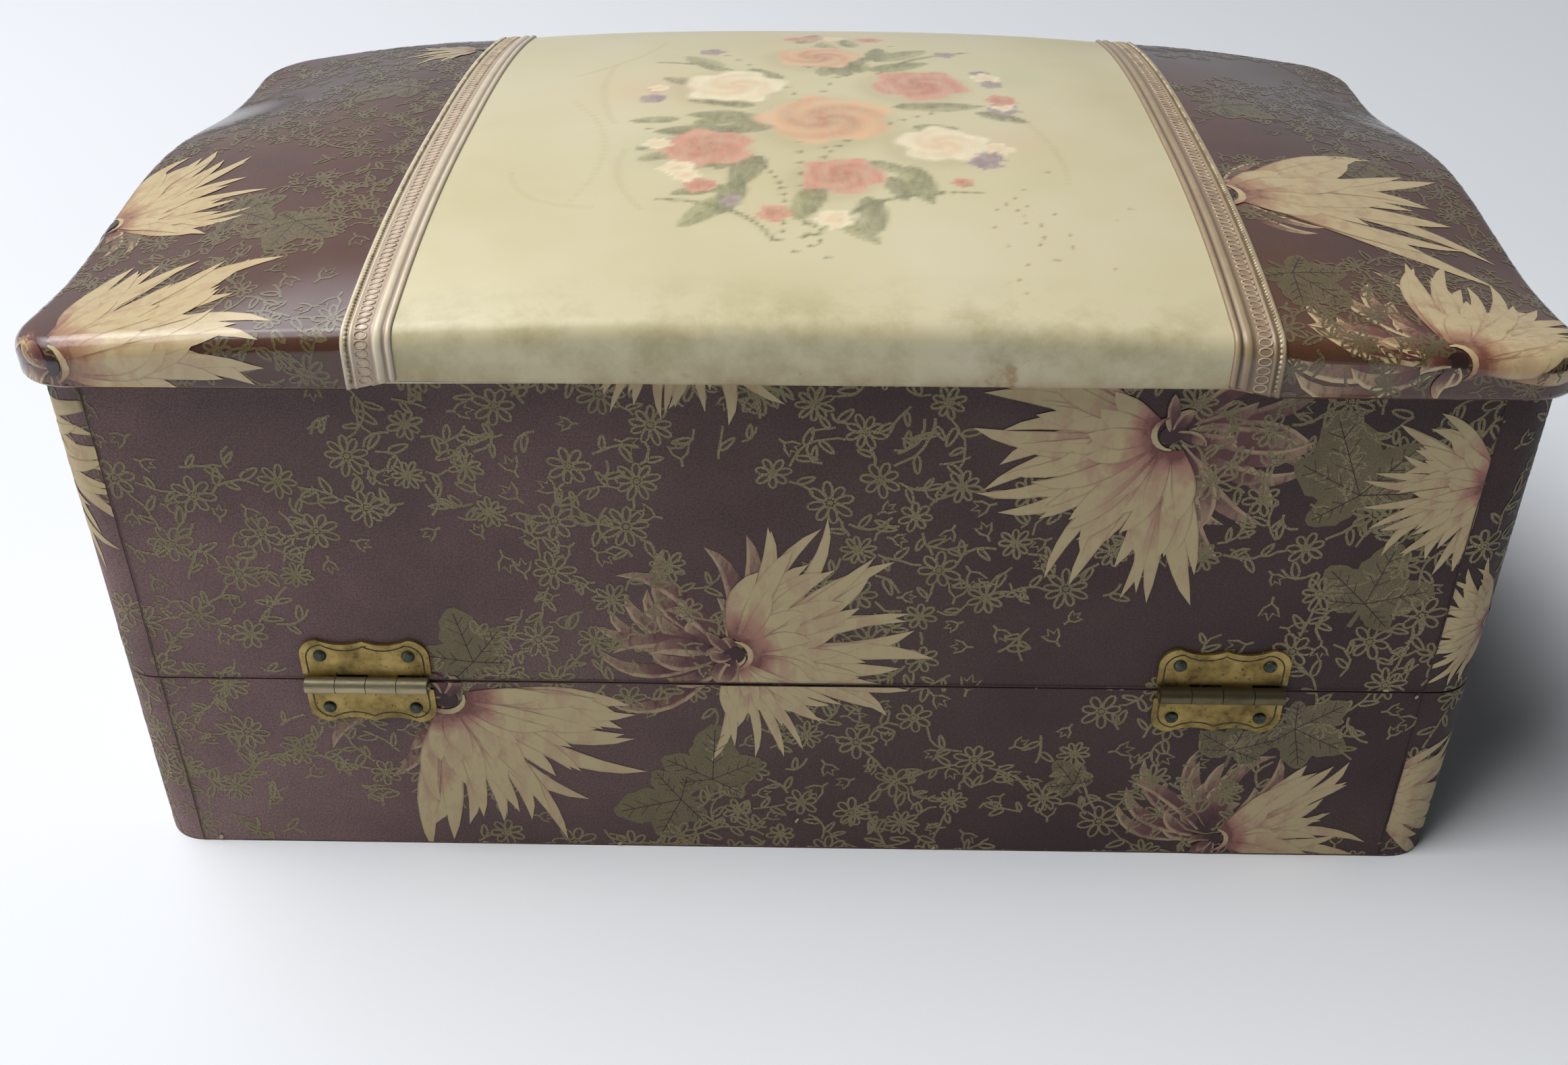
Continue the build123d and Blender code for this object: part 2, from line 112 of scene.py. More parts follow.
class Finish:
    """A material, with short ways to add the nodes that its look needs."""

    def __init__(self, name, **sockets):
        self.material = bpy.data.materials.new(name)
        self.material.use_nodes = True
        self.tree = self.material.node_tree
        self.shader = self.tree.nodes["Principled BSDF"]
        self.place = self.node("ShaderNodeTexCoord").outputs["Object"]
        self.set(**sockets)

    def feed(self, socket, value):
        if isinstance(value, bpy.types.NodeSocket):
            self.tree.links.new(value, socket)
        else:
            socket.default_value = value

    def set(self, **sockets):
        for name, value in sockets.items():
            self.feed(self.shader.inputs[name.replace("_", " ").title().replace("Ior", "IOR")], value)

    def node(self, kind, sockets=None, **settings):
        made = self.tree.nodes.new(kind)
        for key, value in settings.items():
            setattr(made, key, value)
        for key, value in (sockets or {}).items():
            self.feed(made.inputs[key], value)
        return made

    def noise(self, scale, detail=3.0, roughness=0.6, at=None):
        sockets = {"Vector": at or self.place, "Scale": scale, "Detail": detail, "Roughness": roughness}
        return self.node("ShaderNodeTexNoise", sockets).outputs["Fac"]

    def stretched(self, x, y, z):
        """Object coordinates scaled by axis, for a pattern with a direction."""
        return self.node("ShaderNodeMapping", {"Vector": self.place, "Scale": (x, y, z)}).outputs[0]

    def axis(self, name):
        return self.node("ShaderNodeSeparateXYZ", {0: self.place}).outputs[name]

    def between(self, value, low, high, start=0.0, end=1.0):
        sockets = {0: value, 1: low, 2: high, 3: start, 4: end}
        return self.node("ShaderNodeMapRange", sockets).outputs[0]

    def math(self, operation, a, b=0.0):
        return self.node("ShaderNodeMath", {0: a, 1: b}, operation=operation).outputs[0]

    def mix(self, factor, a, b, way="MIX"):
        made = self.node("ShaderNodeMix", {0: factor, 6: a, 7: b}, data_type="RGBA", blend_type=way)
        return made.outputs[2]

    def ramp(self, value, *stops):
        made = self.node("ShaderNodeValToRGB", {0: value})
        marks = made.color_ramp.elements
        while len(marks) < len(stops):
            marks.new(0.5)
        for mark, (position, colour) in zip(marks, stops):
            mark.position = position
            mark.color = colour
        return made.outputs[0]

    def bump(self, height, strength, distance):
        sockets = {"Height": height, "Strength": strength, "Distance": distance}
        self.set(normal=self.node("ShaderNodeBump", sockets).outputs[0])


# %% [markdown]
# ## Printed paper
# The walls are covered in matt plum paper. Old paper is never one colour: the ground has
# a fine grain, cloudy fading and scuffs, and its edges are rubbed down to the pale card at
# the foot, the seam and the corners. The inks are separate finishes, because gilt ink is
# speckled where it has worn off, while the petals shade along their own length.

# %% Paper and its inks
PLUM, PLUM_DEEP, PLUM_FADED = tone("8c6d6c"), tone("765c5b"), tone("9a7f7a")
UNDER_GILT = tone("4b3b3b")
CARD = tone("b9a88e")
SEAM_HEIGHT = 0.046


def rubbed(finish, colour):
    """Wear down to the card along the foot, the seam and the four upright corners."""
    height = finish.axis("Z")
    foot = finish.between(height, 0.0, 0.0013, 1.0, 0.0)
    off_seam = finish.math("ABSOLUTE", finish.math("SUBTRACT", height, SEAM_HEIGHT))
    seam = finish.between(off_seam, 0.0003, 0.0011, 1.0, 0.0)
    corner_x = finish.between(finish.math("ABSOLUTE", finish.axis("X")), 0.1345, 0.1375)
    corner_y = finish.between(finish.math("ABSOLUTE", finish.axis("Y")), 0.0780, 0.0812)
    corner = finish.math("MULTIPLY", finish.math("MULTIPLY", corner_x, corner_y), 0.55)
    edge = finish.math("MAXIMUM", finish.math("MAXIMUM", foot, finish.math("MULTIPLY", seam, 0.5)), corner)
    patch = finish.noise(330.0, 5.0, 0.7)
    worn = finish.between(finish.math("ADD", finish.math("MULTIPLY", edge, 0.42), patch), 0.83, 0.90)
    return finish.mix(worn, colour, CARD)


def paper_finish():
    paper = Finish("printed_paper", roughness=0.62, specular_ior_level=0.35)
    cloud = paper.noise(18.0, 3.0)
    grain = paper.noise(2600.0, 2.0, 0.7)
    ground = paper.ramp(cloud, (0.35, PLUM_DEEP), (0.52, PLUM), (0.72, PLUM_FADED))
    flecked = paper.ramp(grain, (0.35, tone("5a5a5a")), (0.5, tone("bcbcbc")), (0.66, tone("ffffff")))
    colour = paper.mix(0.55, ground, flecked, "MULTIPLY")
    scuff = paper.noise(1.0, 4.0, 0.75, paper.stretched(160.0, 160.0, 45.0))
    colour = paper.mix(paper.between(scuff, 0.70, 0.80, 0.0, 0.25), colour, tone("8d7f80"))
    # Painted light: a ramp, near white at +X on the lamp's side and dark at -X, darkens the ground from left to
    # right as the light falls off. It is partly real fading and partly painted light.
    shaded = paper.ramp(
        paper.between(paper.axis("X"), -0.13, 0.13),
        (0.0, tone("8e8687")), (0.5, tone("a49f9e")), (1.0, tone("fbfbfb")),
    )
    colour = paper.mix(1.0, colour, shaded, "MULTIPLY")
    paper.set(base_color=rubbed(paper, colour))
    paper.bump(grain, 0.18, 0.0002)
    return paper.material


def gilt_finish(name, ink, ground, cover, sheen=0.55, coat=0.0):
    """Gilt ink with the ground showing through in specks."""
    gilt = Finish(name, roughness=sheen, specular_ior_level=0.3, coat_weight=coat, coat_roughness=0.10)
    fine = gilt.noise(3100.0, 2.0, 0.75)
    patch = gilt.noise(120.0, 3.0)
    dark, pale = (tuple(c * k for c in ink[:3]) + (1.0,) for k in (0.72, 1.18))
    shade = gilt.ramp(patch, (0.3, dark), (0.7, pale))
    bare = gilt.math("ADD", fine, gilt.between(patch, 0.3, 0.7, -0.05, 0.05))
    colour = gilt.mix(gilt.between(bare, cover, cover + 0.10), shade, ground)
    gilt.set(base_color=colour)
    return gilt.material


def petal_finish(name, stops, line, one_side=False, coat=0.0):
    """Petals shade from root to tip, with a line down both sides or a pale edge on one."""
    petal = Finish(name, roughness=0.58, specular_ior_level=0.35, coat_weight=coat, coat_roughness=0.1)
    spot = petal.node("ShaderNodeSeparateXYZ", {0: petal.node("ShaderNodeUVMap", uv_map="petal").outputs[0]})
    along, across = spot.outputs["X"], spot.outputs["Y"]
    wander = petal.math("MULTIPLY", petal.math("SUBTRACT", petal.noise(230.0, 4.0, 0.7), 0.5), 0.55)
    reach = petal.math("ADD", along, wander)
    colour = petal.ramp(reach, *stops)
    if one_side:
        streak = petal.noise(1.0, 4.0, 0.7, petal.stretched(900.0, 900.0, 300.0))
        colour = petal.mix(petal.between(streak, 0.50, 0.66, 0.0, 0.7), colour, stops[0][1])
        ragged = petal.math("ADD", across, petal.math("MULTIPLY", wander, 0.5))
        edge = petal.between(ragged, 0.68, 0.82, 0.0, 0.9)
    else:
        side = petal.math("ABSOLUTE", petal.math("SUBTRACT", across, 0.5))
        fade = petal.between(reach, 0.30, 0.85, 0.65, 0.12)
        edge = petal.math("MULTIPLY", petal.between(side, 0.40, 0.48), fade)
    colour = petal.mix(edge, colour, line)
    ray = petal.noise(1.0, 3.0, 0.6, petal.stretched(260.0, 260.0, 120.0))
    blush = petal.between(ray, 0.47, 0.62, 0.0, 0.62)
    near_root = petal.between(reach, 0.40, 1.0, 1.0, 0.1)
    colour = petal.mix(petal.math("MULTIPLY", blush, near_root), colour, stops[1][1])
    fleck = petal.between(petal.noise(2900.0, 2.0, 0.75), 0.58, 0.72, 0.0, 0.30)
    petal.set(base_color=petal.mix(fleck, colour, stops[1][1]))
    return petal.material


CREAM, CREAM_MID, CREAM_ROOT = tone("b8a780"), tone("a57a6a"), tone("714641")
CLAW_TIP, CLAW, CLAW_ROOT, CLAW_EDGE = tone("987f68"), tone("674342"), tone("40272a"), tone("ab9476")
INKS = {
    "gilt": gilt_finish("gilt_ink", tone("8a7f5e"), UNDER_GILT, 0.53),
    "leaf": gilt_finish("gilt_leaf", tone("746a4c"), tone("5a4e44"), 0.50),
    "cream": petal_finish(
        "cream_petals", ((0.08, CREAM_ROOT), (0.26, CREAM_MID), (0.48, CREAM)), tone("6b4a40")
    ),
    "claw": petal_finish(
        "claw_petals", ((0.12, CLAW_ROOT), (0.50, CLAW), (0.88, CLAW_TIP)), CLAW_EDGE, one_side=True
    ),
    # Dark ink for hearts and veins. The same finish paints the shadow lines at the rear paper's joints and above
    # its seam.
    "dark": gilt_finish("dark_ink_and_painted_shadow", tone("3f2a2c"), UNDER_GILT, 0.66),
    "chip": gilt_finish("bare_card", tone("b3a085"), tone("8a7466"), 0.62),
}
PAPER = paper_finish()
print("inks:", ", ".join(sorted(INKS)))

# %% [markdown]
# ## The lid's form
# The celluloid is one smooth skin: a low crown, three humps and coves at each end, and a
# rolled rim. To lay panels, bands and print on it, a rule is needed that takes a place on
# the flat sheet, in millimetres from its middle, and gives the place on the box. Past the
# roll the sheet runs down the side and turns under the rim. The corners of the flat grid
# are squares that the rule bends into quarter circles.

# %% The rule of the lid's skin
RIM_Z, SEAM_Z = 115.0, 46.0
BODY_X, BODY_Y, BODY_CORNER = 140.0, 83.5, 9.5
RIM_X, RIM_Y, RIM_CORNER, ROLL = 143.5, 87.0, 13.0, 4.0
SHOULDER, CREST, CREST_POWER, FULLER_FRONT = 11.5, 18.8, 2.6, 1.2
MIDDLE_RISE, MIDDLE_POWER, FULLER_END_BACK = 3.0, 2.5, 0.8
END_HUMP, END_COVE, END_CORNER, COVE_AT, END_POWER = 11.0, 5.6, 7.0, 0.66, 1.5
BAND_WIDTH = 9.3
BAND_OUTER = {"left": -86.4, "right": 80.1}
BAND_INNER = {"left": -86.4 + BAND_WIDTH, "right": 80.1 - BAND_WIDTH}
JOINT = {hand: (BAND_OUTER[hand] + BAND_INNER[hand]) / 2 for hand in BAND_OUTER}
HALF_MIDDLE = (BAND_OUTER["right"] - BAND_OUTER["left"]) / 2
IVORY_LIFT = 1.7
ROLL_RUN, SIDE_RUN, HEEL, HEEL_RUN, LIP_RUN = ROLL * math.pi / 2, 6.0, 0.6, 0.95, 2.9
SHEET_X = RIM_X - ROLL + ROLL_RUN + SIDE_RUN + HEEL_RUN + LIP_RUN
SHEET_Y = RIM_Y - ROLL + ROLL_RUN + SIDE_RUN + HEEL_RUN + LIP_RUN


def ease(value, low, high):
    """Nought below low, one above high, and a smooth rise between."""
    share = np.clip((value - low) / (high - low), 0.0, 1.0)
    return share * share * (3 - 2 * share)


def lid_height(x, y):
    v = np.minimum(np.abs(y) / RIM_Y, 1.0)
    crown = SHOULDER + (CREST - SHOULDER) * (1 - v**CREST_POWER) - FULLER_FRONT * y / RIM_Y
    crown = crown + MIDDLE_RISE * (1 - np.minimum(np.abs(x) / HALF_MIDDLE, 1.0) ** MIDDLE_POWER)
    hump = END_COVE + (END_HUMP - END_COVE) * (0.5 + 0.5 * np.cos(math.pi * v / COVE_AT))
    ear = END_COVE + (END_CORNER - END_COVE) * (0.5 - 0.5 * np.cos(math.pi * (v - COVE_AT) / (1 - COVE_AT)))
    end = np.where(v < COVE_AT, hump, ear) + FULLER_END_BACK * y / RIM_Y
    share = np.maximum(0.0, np.abs(x) - HALF_MIDDLE) / (RIM_X - HALF_MIDDLE)
    return crown + (end - crown) * np.minimum(share, 1.05) ** END_POWER


def lid_foot(x):
    """The ivory sheet is turned under a little higher than the dark ones."""
    return IVORY_LIFT * ease(x, BAND_OUTER["left"], BAND_INNER["left"]) * (
        1 - ease(x, BAND_INNER["right"], BAND_OUTER["right"])
    )


def lid_point(p, q, lift=0.0):
    """The place on the lid of a place (p, q) on the flat sheet, in millimetres."""
    p, q, lift = np.broadcast_arrays(*(np.asarray(a, dtype=float) for a in (p, q, lift)))
    curve = RIM_CORNER - ROLL
    core_x, core_y = RIM_X - RIM_CORNER, RIM_Y - RIM_CORNER
    a, b = np.maximum(np.abs(p) - core_x, 0.0), np.maximum(np.abs(q) - core_y, 0.0)
    reach = np.maximum(a, b)
    tiny = 1e-9
    angle = np.where(a >= b, b / np.maximum(a, tiny), 2 - a / np.maximum(b, tiny)) * math.pi / 4
    out_x, out_y = np.cos(angle) * np.sign(p), np.sin(angle) * np.sign(q)
    inner = np.minimum(reach, curve)
    x = np.sign(p) * np.minimum(np.abs(p), core_x) + out_x * inner
    y = np.sign(q) * np.minimum(np.abs(q), core_y) + out_y * inner
    past = np.maximum(reach - curve, 0.0)
    turn = np.minimum(past / ROLL_RUN, 1.0) * math.pi / 2
    fall = (lid_height(x, y) - lid_height(x + out_x * ROLL, y + out_y * ROLL)) / ROLL
    begin = np.arctan(np.maximum(fall, 0.0))
    touch = ROLL * np.sin(begin)
    centre = lid_height(x + out_x * touch, y + out_y * touch) - ROLL * np.cos(begin)
    out = ROLL * np.sin(turn)
    foot = lid_foot(x)
    side = np.clip((past - ROLL_RUN) / SIDE_RUN, 0.0, 1.0)
    heel = np.clip((past - ROLL_RUN - SIDE_RUN) / HEEL_RUN, 0.0, 1.0) * math.pi / 2
    lip = np.maximum(past - ROLL_RUN - SIDE_RUN - HEEL_RUN, 0.0)
    out = out - HEEL * (1 - np.cos(heel)) - lip
    on_top = lid_height(x + out_x * out, y + out_y * out)
    rolled = centre + ROLL * np.cos(turn)
    z = np.where(turn <= begin, on_top, rolled)
    z = z + (foot + HEEL - centre) * side - HEEL * np.sin(heel)
    step = 0.05
    slope_x = (lid_height(x + step, y) - lid_height(x - step, y)) / (2 * step)
    slope_y = (lid_height(x, y + step) - lid_height(x, y - step)) / (2 * step)
    flat = np.stack([-slope_x, -slope_y, np.ones_like(x)], -1)
    lean = np.maximum(turn, begin) + heel
    rim = np.stack([out_x * np.sin(lean), out_y * np.sin(lean), np.cos(lean)], -1)
    on_rim = (past > 0)[..., None]
    normal = np.where(on_rim, rim, flat / np.linalg.norm(flat, axis=-1, keepdims=True))
    place = np.stack([x + out_x * out, y + out_y * out, RIM_Z + z], -1)
    return place + normal * lift[..., None]


print("crest above the table, mm:", round(float(lid_point(0, 0)[2]), 1))

# %% [markdown]
# ## Sheets from a grid
# A skin is a grid of rows and columns on the flat sheet, put through the rule. Rows are
# close together where the sheet rolls over and wide apart where it is nearly flat. The
# real sheet has a thickness, so a Solidify modifier adds one inwards.

# %% Grids and skins
MM = 0.001


def spread(low, high, step):
    return np.linspace(low, high, max(2, int(round(abs(high - low) / step)) + 1))


def marks(*runs):
    """Joins runs of (low, high, step) into one rising list of places."""
    return np.unique(np.round(np.concatenate([spread(*run) for run in runs]), 6))


def new_piece(name, points, faces, *finishes, smooth=True):
    """A mesh object at the origin from points in millimetres."""
    mesh = bpy.data.meshes.new(name)
    mesh.from_pydata((np.asarray(points) * MM).tolist(), [], faces)
    for material in finishes:
        mesh.materials.append(material)
    mesh.polygons.foreach_set("use_smooth", [smooth] * len(mesh.polygons))
    piece = bpy.data.objects.new(name, mesh)
    bpy.context.collection.objects.link(piece)
    return piece


def grid_faces(columns, rows):
    return [
        (i * rows + j, (i + 1) * rows + j, (i + 1) * rows + j + 1, i * rows + j + 1)
        for i in range(columns - 1)
        for j in range(rows - 1)
    ]


def skin(name, columns, rows, lift, material):
    p, q = np.meshgrid(columns, rows, indexing="ij")
    points = lid_point(p, q, lift).reshape(-1, 3)
    piece = new_piece(name, points, grid_faces(len(columns), len(rows)), material)
    return piece, p.ravel(), q.ravel(), points


def thicken(piece):
    """Gives a skin the thickness of the sheet, inwards."""
    wall = piece.modifiers.new("thickness", "SOLIDIFY")
    wall.thickness = SHEET_THICKNESS * MM
    wall.offset = -1.0
    wall.use_even_offset = True


SHEET_THICKNESS = 0.6
ROLL_STEP, TOP_STEP = 0.8, 2.4
EDGE_Y, EDGE_X = RIM_Y - ROLL, RIM_X - ROLL
ROWS = marks((-SHEET_Y, -EDGE_Y, ROLL_STEP), (-EDGE_Y, EDGE_Y, TOP_STEP), (EDGE_Y, SHEET_Y, ROLL_STEP))
print("rows in a side panel:", len(ROWS))

# %% [markdown]
# ## Dark celluloid
# The end panels are clear sheet over maroon printed paper, so they are darker and browner
# than the walls and have a hard gloss. The gloss is a coat over a matt ground. Below it the
# print is a dim speckle of olive, and only the blossoms stay bright.

# %% The two end panels
def dark_celluloid():
    sheet = Finish(
        "maroon_celluloid", roughness=0.55, specular_ior_level=0.2,
        coat_weight=1.0, coat_roughness=0.10, coat_ior=1.5,
    )
    cloud = sheet.noise(22.0, 3.0)
    ground = sheet.ramp(cloud, (0.33, tone("3f221c")), (0.5, tone("4b2c22")), (0.7, tone("543522")))
    speck = sheet.noise(1900.0, 3.0, 0.75)
    patch = sheet.between(sheet.noise(60.0, 4.0, 0.65), 0.42, 0.62)
    olive = sheet.math("MULTIPLY", sheet.between(speck, 0.47, 0.66), patch)
    sheet.set(base_color=sheet.mix(sheet.math("MULTIPLY", olive, 0.22), ground, tone("6f6446")))
    wave = sheet.noise(55.0, 2.0, 0.5)
    sheet.bump(wave, 0.25, 0.0006)
    return sheet.material


MAROON = dark_celluloid()
END_COLUMNS = {
    "left": marks((-SHEET_X, -EDGE_X, ROLL_STEP), (-EDGE_X, JOINT["left"], TOP_STEP)),
    "right": marks((JOINT["right"], EDGE_X, TOP_STEP), (EDGE_X, SHEET_X, ROLL_STEP)),
}
for hand, columns in END_COLUMNS.items():
    panel = skin(f"{hand}_panel", columns, ROWS, 0.0, MAROON)[0]
    thicken(panel)
    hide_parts(f"{hand}_celluloid_panel")
    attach(panel, "lid")

# %% [markdown]
# ## The ivory panel and its painted spray
# The middle panel is ivory sheet with a faded spray of garden flowers. The spray is soft
# and has no hard lines, so it is laid down as colours on the points of a fine grid, one
# petal or leaf after the other, as a painter would. The alpha says how much paint covers
# the ivory there.

# %% Brushes
def cover(paint, mask, colour):
    """Lays a colour over the paint where the mask is above nought."""
    mask = np.clip(mask, 0.0, 1.0)[:, None]
    paint[:, :3] = paint[:, :3] * (1 - mask) + np.asarray(colour)[None, :3] * mask
    paint[:, 3:] = paint[:, 3:] + (1 - paint[:, 3:]) * mask


def rose(paint, x, y, at, size, light, deep):
    """A full rose: petals in turning rings, darker towards the heart."""
    dx, dy = x - at[0], y - at[1]
    radius, angle = np.hypot(dx, dy) / size, np.arctan2(dy, dx)
    edge = 1 + 0.09 * np.cos(5 * angle + at[0]) + 0.05 * np.cos(9 * angle)
    mask = 1 - ease(radius, edge - 0.14, edge + 0.02)
    fold = 0.5 + 0.5 * np.cos(3 * angle + 13 * radius + at[1])
    shade = np.clip(0.25 + 0.75 * radius + 0.32 * (fold - 0.5), 0, 1)[:, None]
    colour = np.asarray(deep[:3]) * (1 - shade) + np.asarray(light[:3]) * shade
    paint[:, :3] = paint[:, :3] * (1 - mask[:, None]) + colour * mask[:, None]
    paint[:, 3] = np.maximum(paint[:, 3], mask)


def spray_leaf(paint, x, y, at, heading, length, colour, deep):
    """A pointed leaf with a paler half and a dark midrib."""
    c, s = math.cos(heading), math.sin(heading)
    u = ((x - at[0]) * c + (y - at[1]) * s) / length
    v = (-(x - at[0]) * s + (y - at[1]) * c) / length
    half = 0.26 * np.sqrt(np.clip(u * (1 - u) * 4, 0, 1)) * (1 - 0.35 * np.clip(u, 0, 1))
    inside = 1 - ease(np.abs(v), half - 0.05, half + 0.03)
    inside = inside * (u > 0) * (u < 1)
    cover(paint, inside * 0.85, colour)
    cover(paint, inside * ease(v, -0.02, 0.10) * 0.5, deep)
    cover(paint, inside * (1 - ease(np.abs(v), 0.0, 0.035)) * 0.7, deep)


def stem(paint, x, y, start, end, bow, width, colour):
    """A curved stem between two places."""
    start, end = np.asarray(start, float), np.asarray(end, float)
    side = np.array([-(end - start)[1], (end - start)[0]]) * bow
    share = np.linspace(0, 1, 24)[:, None]
    path = start * (1 - share) + end * share + side * 4 * share * (1 - share)
    near = np.full(len(x), 1e9)
    for px, py in path:
        near = np.minimum(near, np.hypot(x - px, y - py))
    cover(paint, 1 - ease(near, width * 0.5, width * 1.6), colour)


# %% The painted spray
PEACH, PINK, ROSE_DEEP = tone("e3b48c"), tone("d3927f"), tone("a8604f")
MAUVE, MAUVE_DEEP, IVORY_WHITE = tone("9d8891"), tone("6f5c68"), tone("efe6c6")
MOSS, MOSS_DEEP, BARK = tone("7f8257"), tone("565b3c"), tone("6f5640")
SEPIA, WATER, RUST = tone("8f7a52"), tone("9fb09a"), tone("7d5a34")


def painted_spray(x, y):
    rng = np.random.default_rng(11)
    paint = np.zeros((len(x), 4))
    paint[:, :3] = np.asarray(tone("d9cfa0")[:3])
    haze = np.exp(-(((x + 8) / 46) ** 2 + ((y + 8) / 66) ** 2) ** 2)
    cover(paint, haze * 0.35, tone("b9a97c"))
    for start, end, bow in (
        ((-6, 66), (-22, -58), 0.10), ((0, 64), (18, -46), -0.12), ((-3, 62), (-40, -8), 0.2),
        ((3, 60), (32, 8), -0.2), ((-4, 58), (-36, 40), 0.15), ((4, 60), (27, 44), -0.15),
        ((-18, -30), (-40, -52), 0.1), ((14, -30), (34, -40), -0.1),
    ):
        stem(paint, x, y, start, end, bow, 0.75, MOSS_DEEP)
    for ring in range(46):
        angle = rng.uniform(0, 2 * math.pi)
        radius = rng.uniform(0.35, 1.0)
        at = (-6 + 36 * radius * math.cos(angle), -6 + 58 * radius * math.sin(angle))
        heading = angle + rng.uniform(-0.7, 0.7)
        green = (MOSS, MOSS_DEEP, tone("8f8c66"))[ring % 3]
        spray_leaf(paint, x, y, at, heading, rng.uniform(10, 18), green, MOSS_DEEP)
    flowers = (
        ((-6, 2), 15.0, PEACH, ROSE_DEEP), ((-27, -22), 11.5, PINK, ROSE_DEEP),
        ((15, -20), 12.0, IVORY_WHITE, PEACH), ((19, 19), 10.5, PINK, ROSE_DEEP),
        ((-30, 16), 10.0, IVORY_WHITE, PEACH), ((-4, -45), 10.5, PEACH, ROSE_DEEP),
        ((-9, 33), 9.0, PINK, ROSE_DEEP),
    )
    for at, size, light, deep in flowers:
        cover(paint, 0.35 * (1 - ease(np.hypot(x - at[0] - 1.5, y - at[1] - 2) / size, 0.9, 1.35)), BARK)
        rose(paint, x, y, at, size, light, deep)
    for bell in range(26):
        angle = rng.uniform(0, 2 * math.pi)
        at = (-6 + 39 * math.cos(angle), -8 + 60 * math.sin(angle))
        size = rng.uniform(2.4, 4.2)
        light, deep = ((MAUVE, MAUVE_DEEP), (IVORY_WHITE, PEACH), (PINK, ROSE_DEEP))[bell % 3]
        rose(paint, x, y, at, size, light, deep)
    for start, end, bow in (
        ((50, -10), (44, 44), 0.12), ((58, 30), (40, 47), -0.2), ((44, -38), (40, 4), -0.06),
        ((30, 48), (36, 20), 0.1), ((-44, -8), (-54, 34), 0.08), ((34, -64), (52, -30), 0.1),
    ):
        stroke = np.zeros((len(x), 4))
        stem(stroke, x, y, start, end, bow, 1.0, SEPIA)
        cover(paint, stroke[:, 3] * 0.5 * (1 - paint[:, 3]), SEPIA)
    for at, spread_of, colour in (
        ((34, -18), 13, PINK), ((30, 20), 12, WATER), ((-50, -30), 11, WATER), ((-6, -66), 16, PINK),
        ((-46, 12), 10, PINK),
    ):
        wash = np.exp(-(np.hypot(x - at[0], y - at[1]) / spread_of) ** 2) * (1 - paint[:, 3])
        cover(paint, wash * 0.5, colour)
    for spot in rng.normal((-48, 52), (9, 12), (26, 2)):
        cover(paint, 1 - ease(np.hypot(x - spot[0], y - spot[1]), 0.3, rng.uniform(0.7, 1.2)), RUST)
    return paint


# %% The ivory panel
def ivory_finish():
    ivory = Finish(
        "ivory_celluloid", roughness=0.45, specular_ior_level=0.25,
        coat_weight=0.55, coat_roughness=0.2, coat_ior=1.5,
    )
    cloud = ivory.noise(16.0, 3.0)
    ground = ivory.ramp(cloud, (0.3, tone("c2b78f")), (0.5, tone("cbc19e")), (0.72, tone("d1c8ab")))
    paint = ivory.node("ShaderNodeAttribute", attribute_name="paint")
    streak = ivory.noise(1.0, 4.0, 0.7, ivory.stretched(420.0, 140.0, 200.0))
    hold = ivory.math("MULTIPLY", paint.outputs["Alpha"], ivory.between(streak, 0.25, 0.65, 0.45, 0.86))
    colour = ivory.mix(hold, ground, paint.outputs["Color"])
    near = ivory.between(ivory.axis("Y"), 0.070, 0.086)
    grime = ivory.math("MULTIPLY", near, ivory.between(ivory.noise(70.0, 5.0, 0.7), 0.44, 0.64, 0.0, 0.55))
    colour = ivory.mix(grime, colour, tone("9a8f63"))
    specks = ivory.between(ivory.noise(520.0, 4.0, 0.8), 0.70, 0.76, 0.0, 0.55)
    colour = ivory.mix(specks, colour, tone("8c7f5c"))
    low = ivory.between(ivory.axis("Z"), 0.1168, 0.1215, 1.0, 0.0)
    brown = ivory.math("MULTIPLY", low, ivory.between(ivory.noise(150.0, 3.0), 0.36, 0.7, 0.15, 0.7))
    colour = ivory.mix(brown, colour, tone("a08458"))
    aside = ivory.math("ABSOLUTE", ivory.math("ADD", ivory.axis("X"), 0.038))
    rust = ivory.math("ADD", ivory.between(aside, 0.0, 0.005, 0.30, 0.0), ivory.noise(300.0, 3.0, 0.6))
    below = ivory.between(ivory.axis("Z"), 0.1195, 0.1245, 1.0, 0.0)
    where = ivory.math("MULTIPLY", near, below)
    rust = ivory.math("MULTIPLY", ivory.between(rust, 0.66, 0.86, 0.0, 0.6), where)
    ivory.set(base_color=ivory.mix(rust, colour, tone("8d5f2e")))
    ivory.bump(ivory.noise(60.0, 2.0, 0.5), 0.2, 0.0005)
    return ivory.material


FINE = 1.0
SPRAY_FADE = (74.0, 82.0)
ivory_columns = marks((JOINT["left"], JOINT["right"], FINE))
ivory_rows = marks((-SHEET_Y, -EDGE_Y, ROLL_STEP), (-EDGE_Y, EDGE_Y, FINE), (EDGE_Y, SHEET_Y, ROLL_STEP))
ivory_panel, p, q, points = skin("ivory_panel", ivory_columns, ivory_rows, 0.0, ivory_finish())
paint = ivory_panel.data.color_attributes.new("paint", "FLOAT_COLOR", "POINT")
spray = painted_spray(points[:, 0], points[:, 1])
spray[:, 3] *= 1 - ease(np.abs(q), *SPRAY_FADE)
paint.data.foreach_set("color", spray.ravel())
thicken(ivory_panel)
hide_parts("centre_celluloid_panel")
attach(ivory_panel, "lid")
print("points in the ivory panel:", len(points))

# %% [markdown]
# ## Embossed bands
# A narrow embossed strip hides each joint of the celluloid. Its section has a beaded ridge,
# a tan channel with a chain of small rings and a cream moulding. The section is swept along
# the skin, and a UV map carries the place across the strip, so that each channel gets its
# own colour.

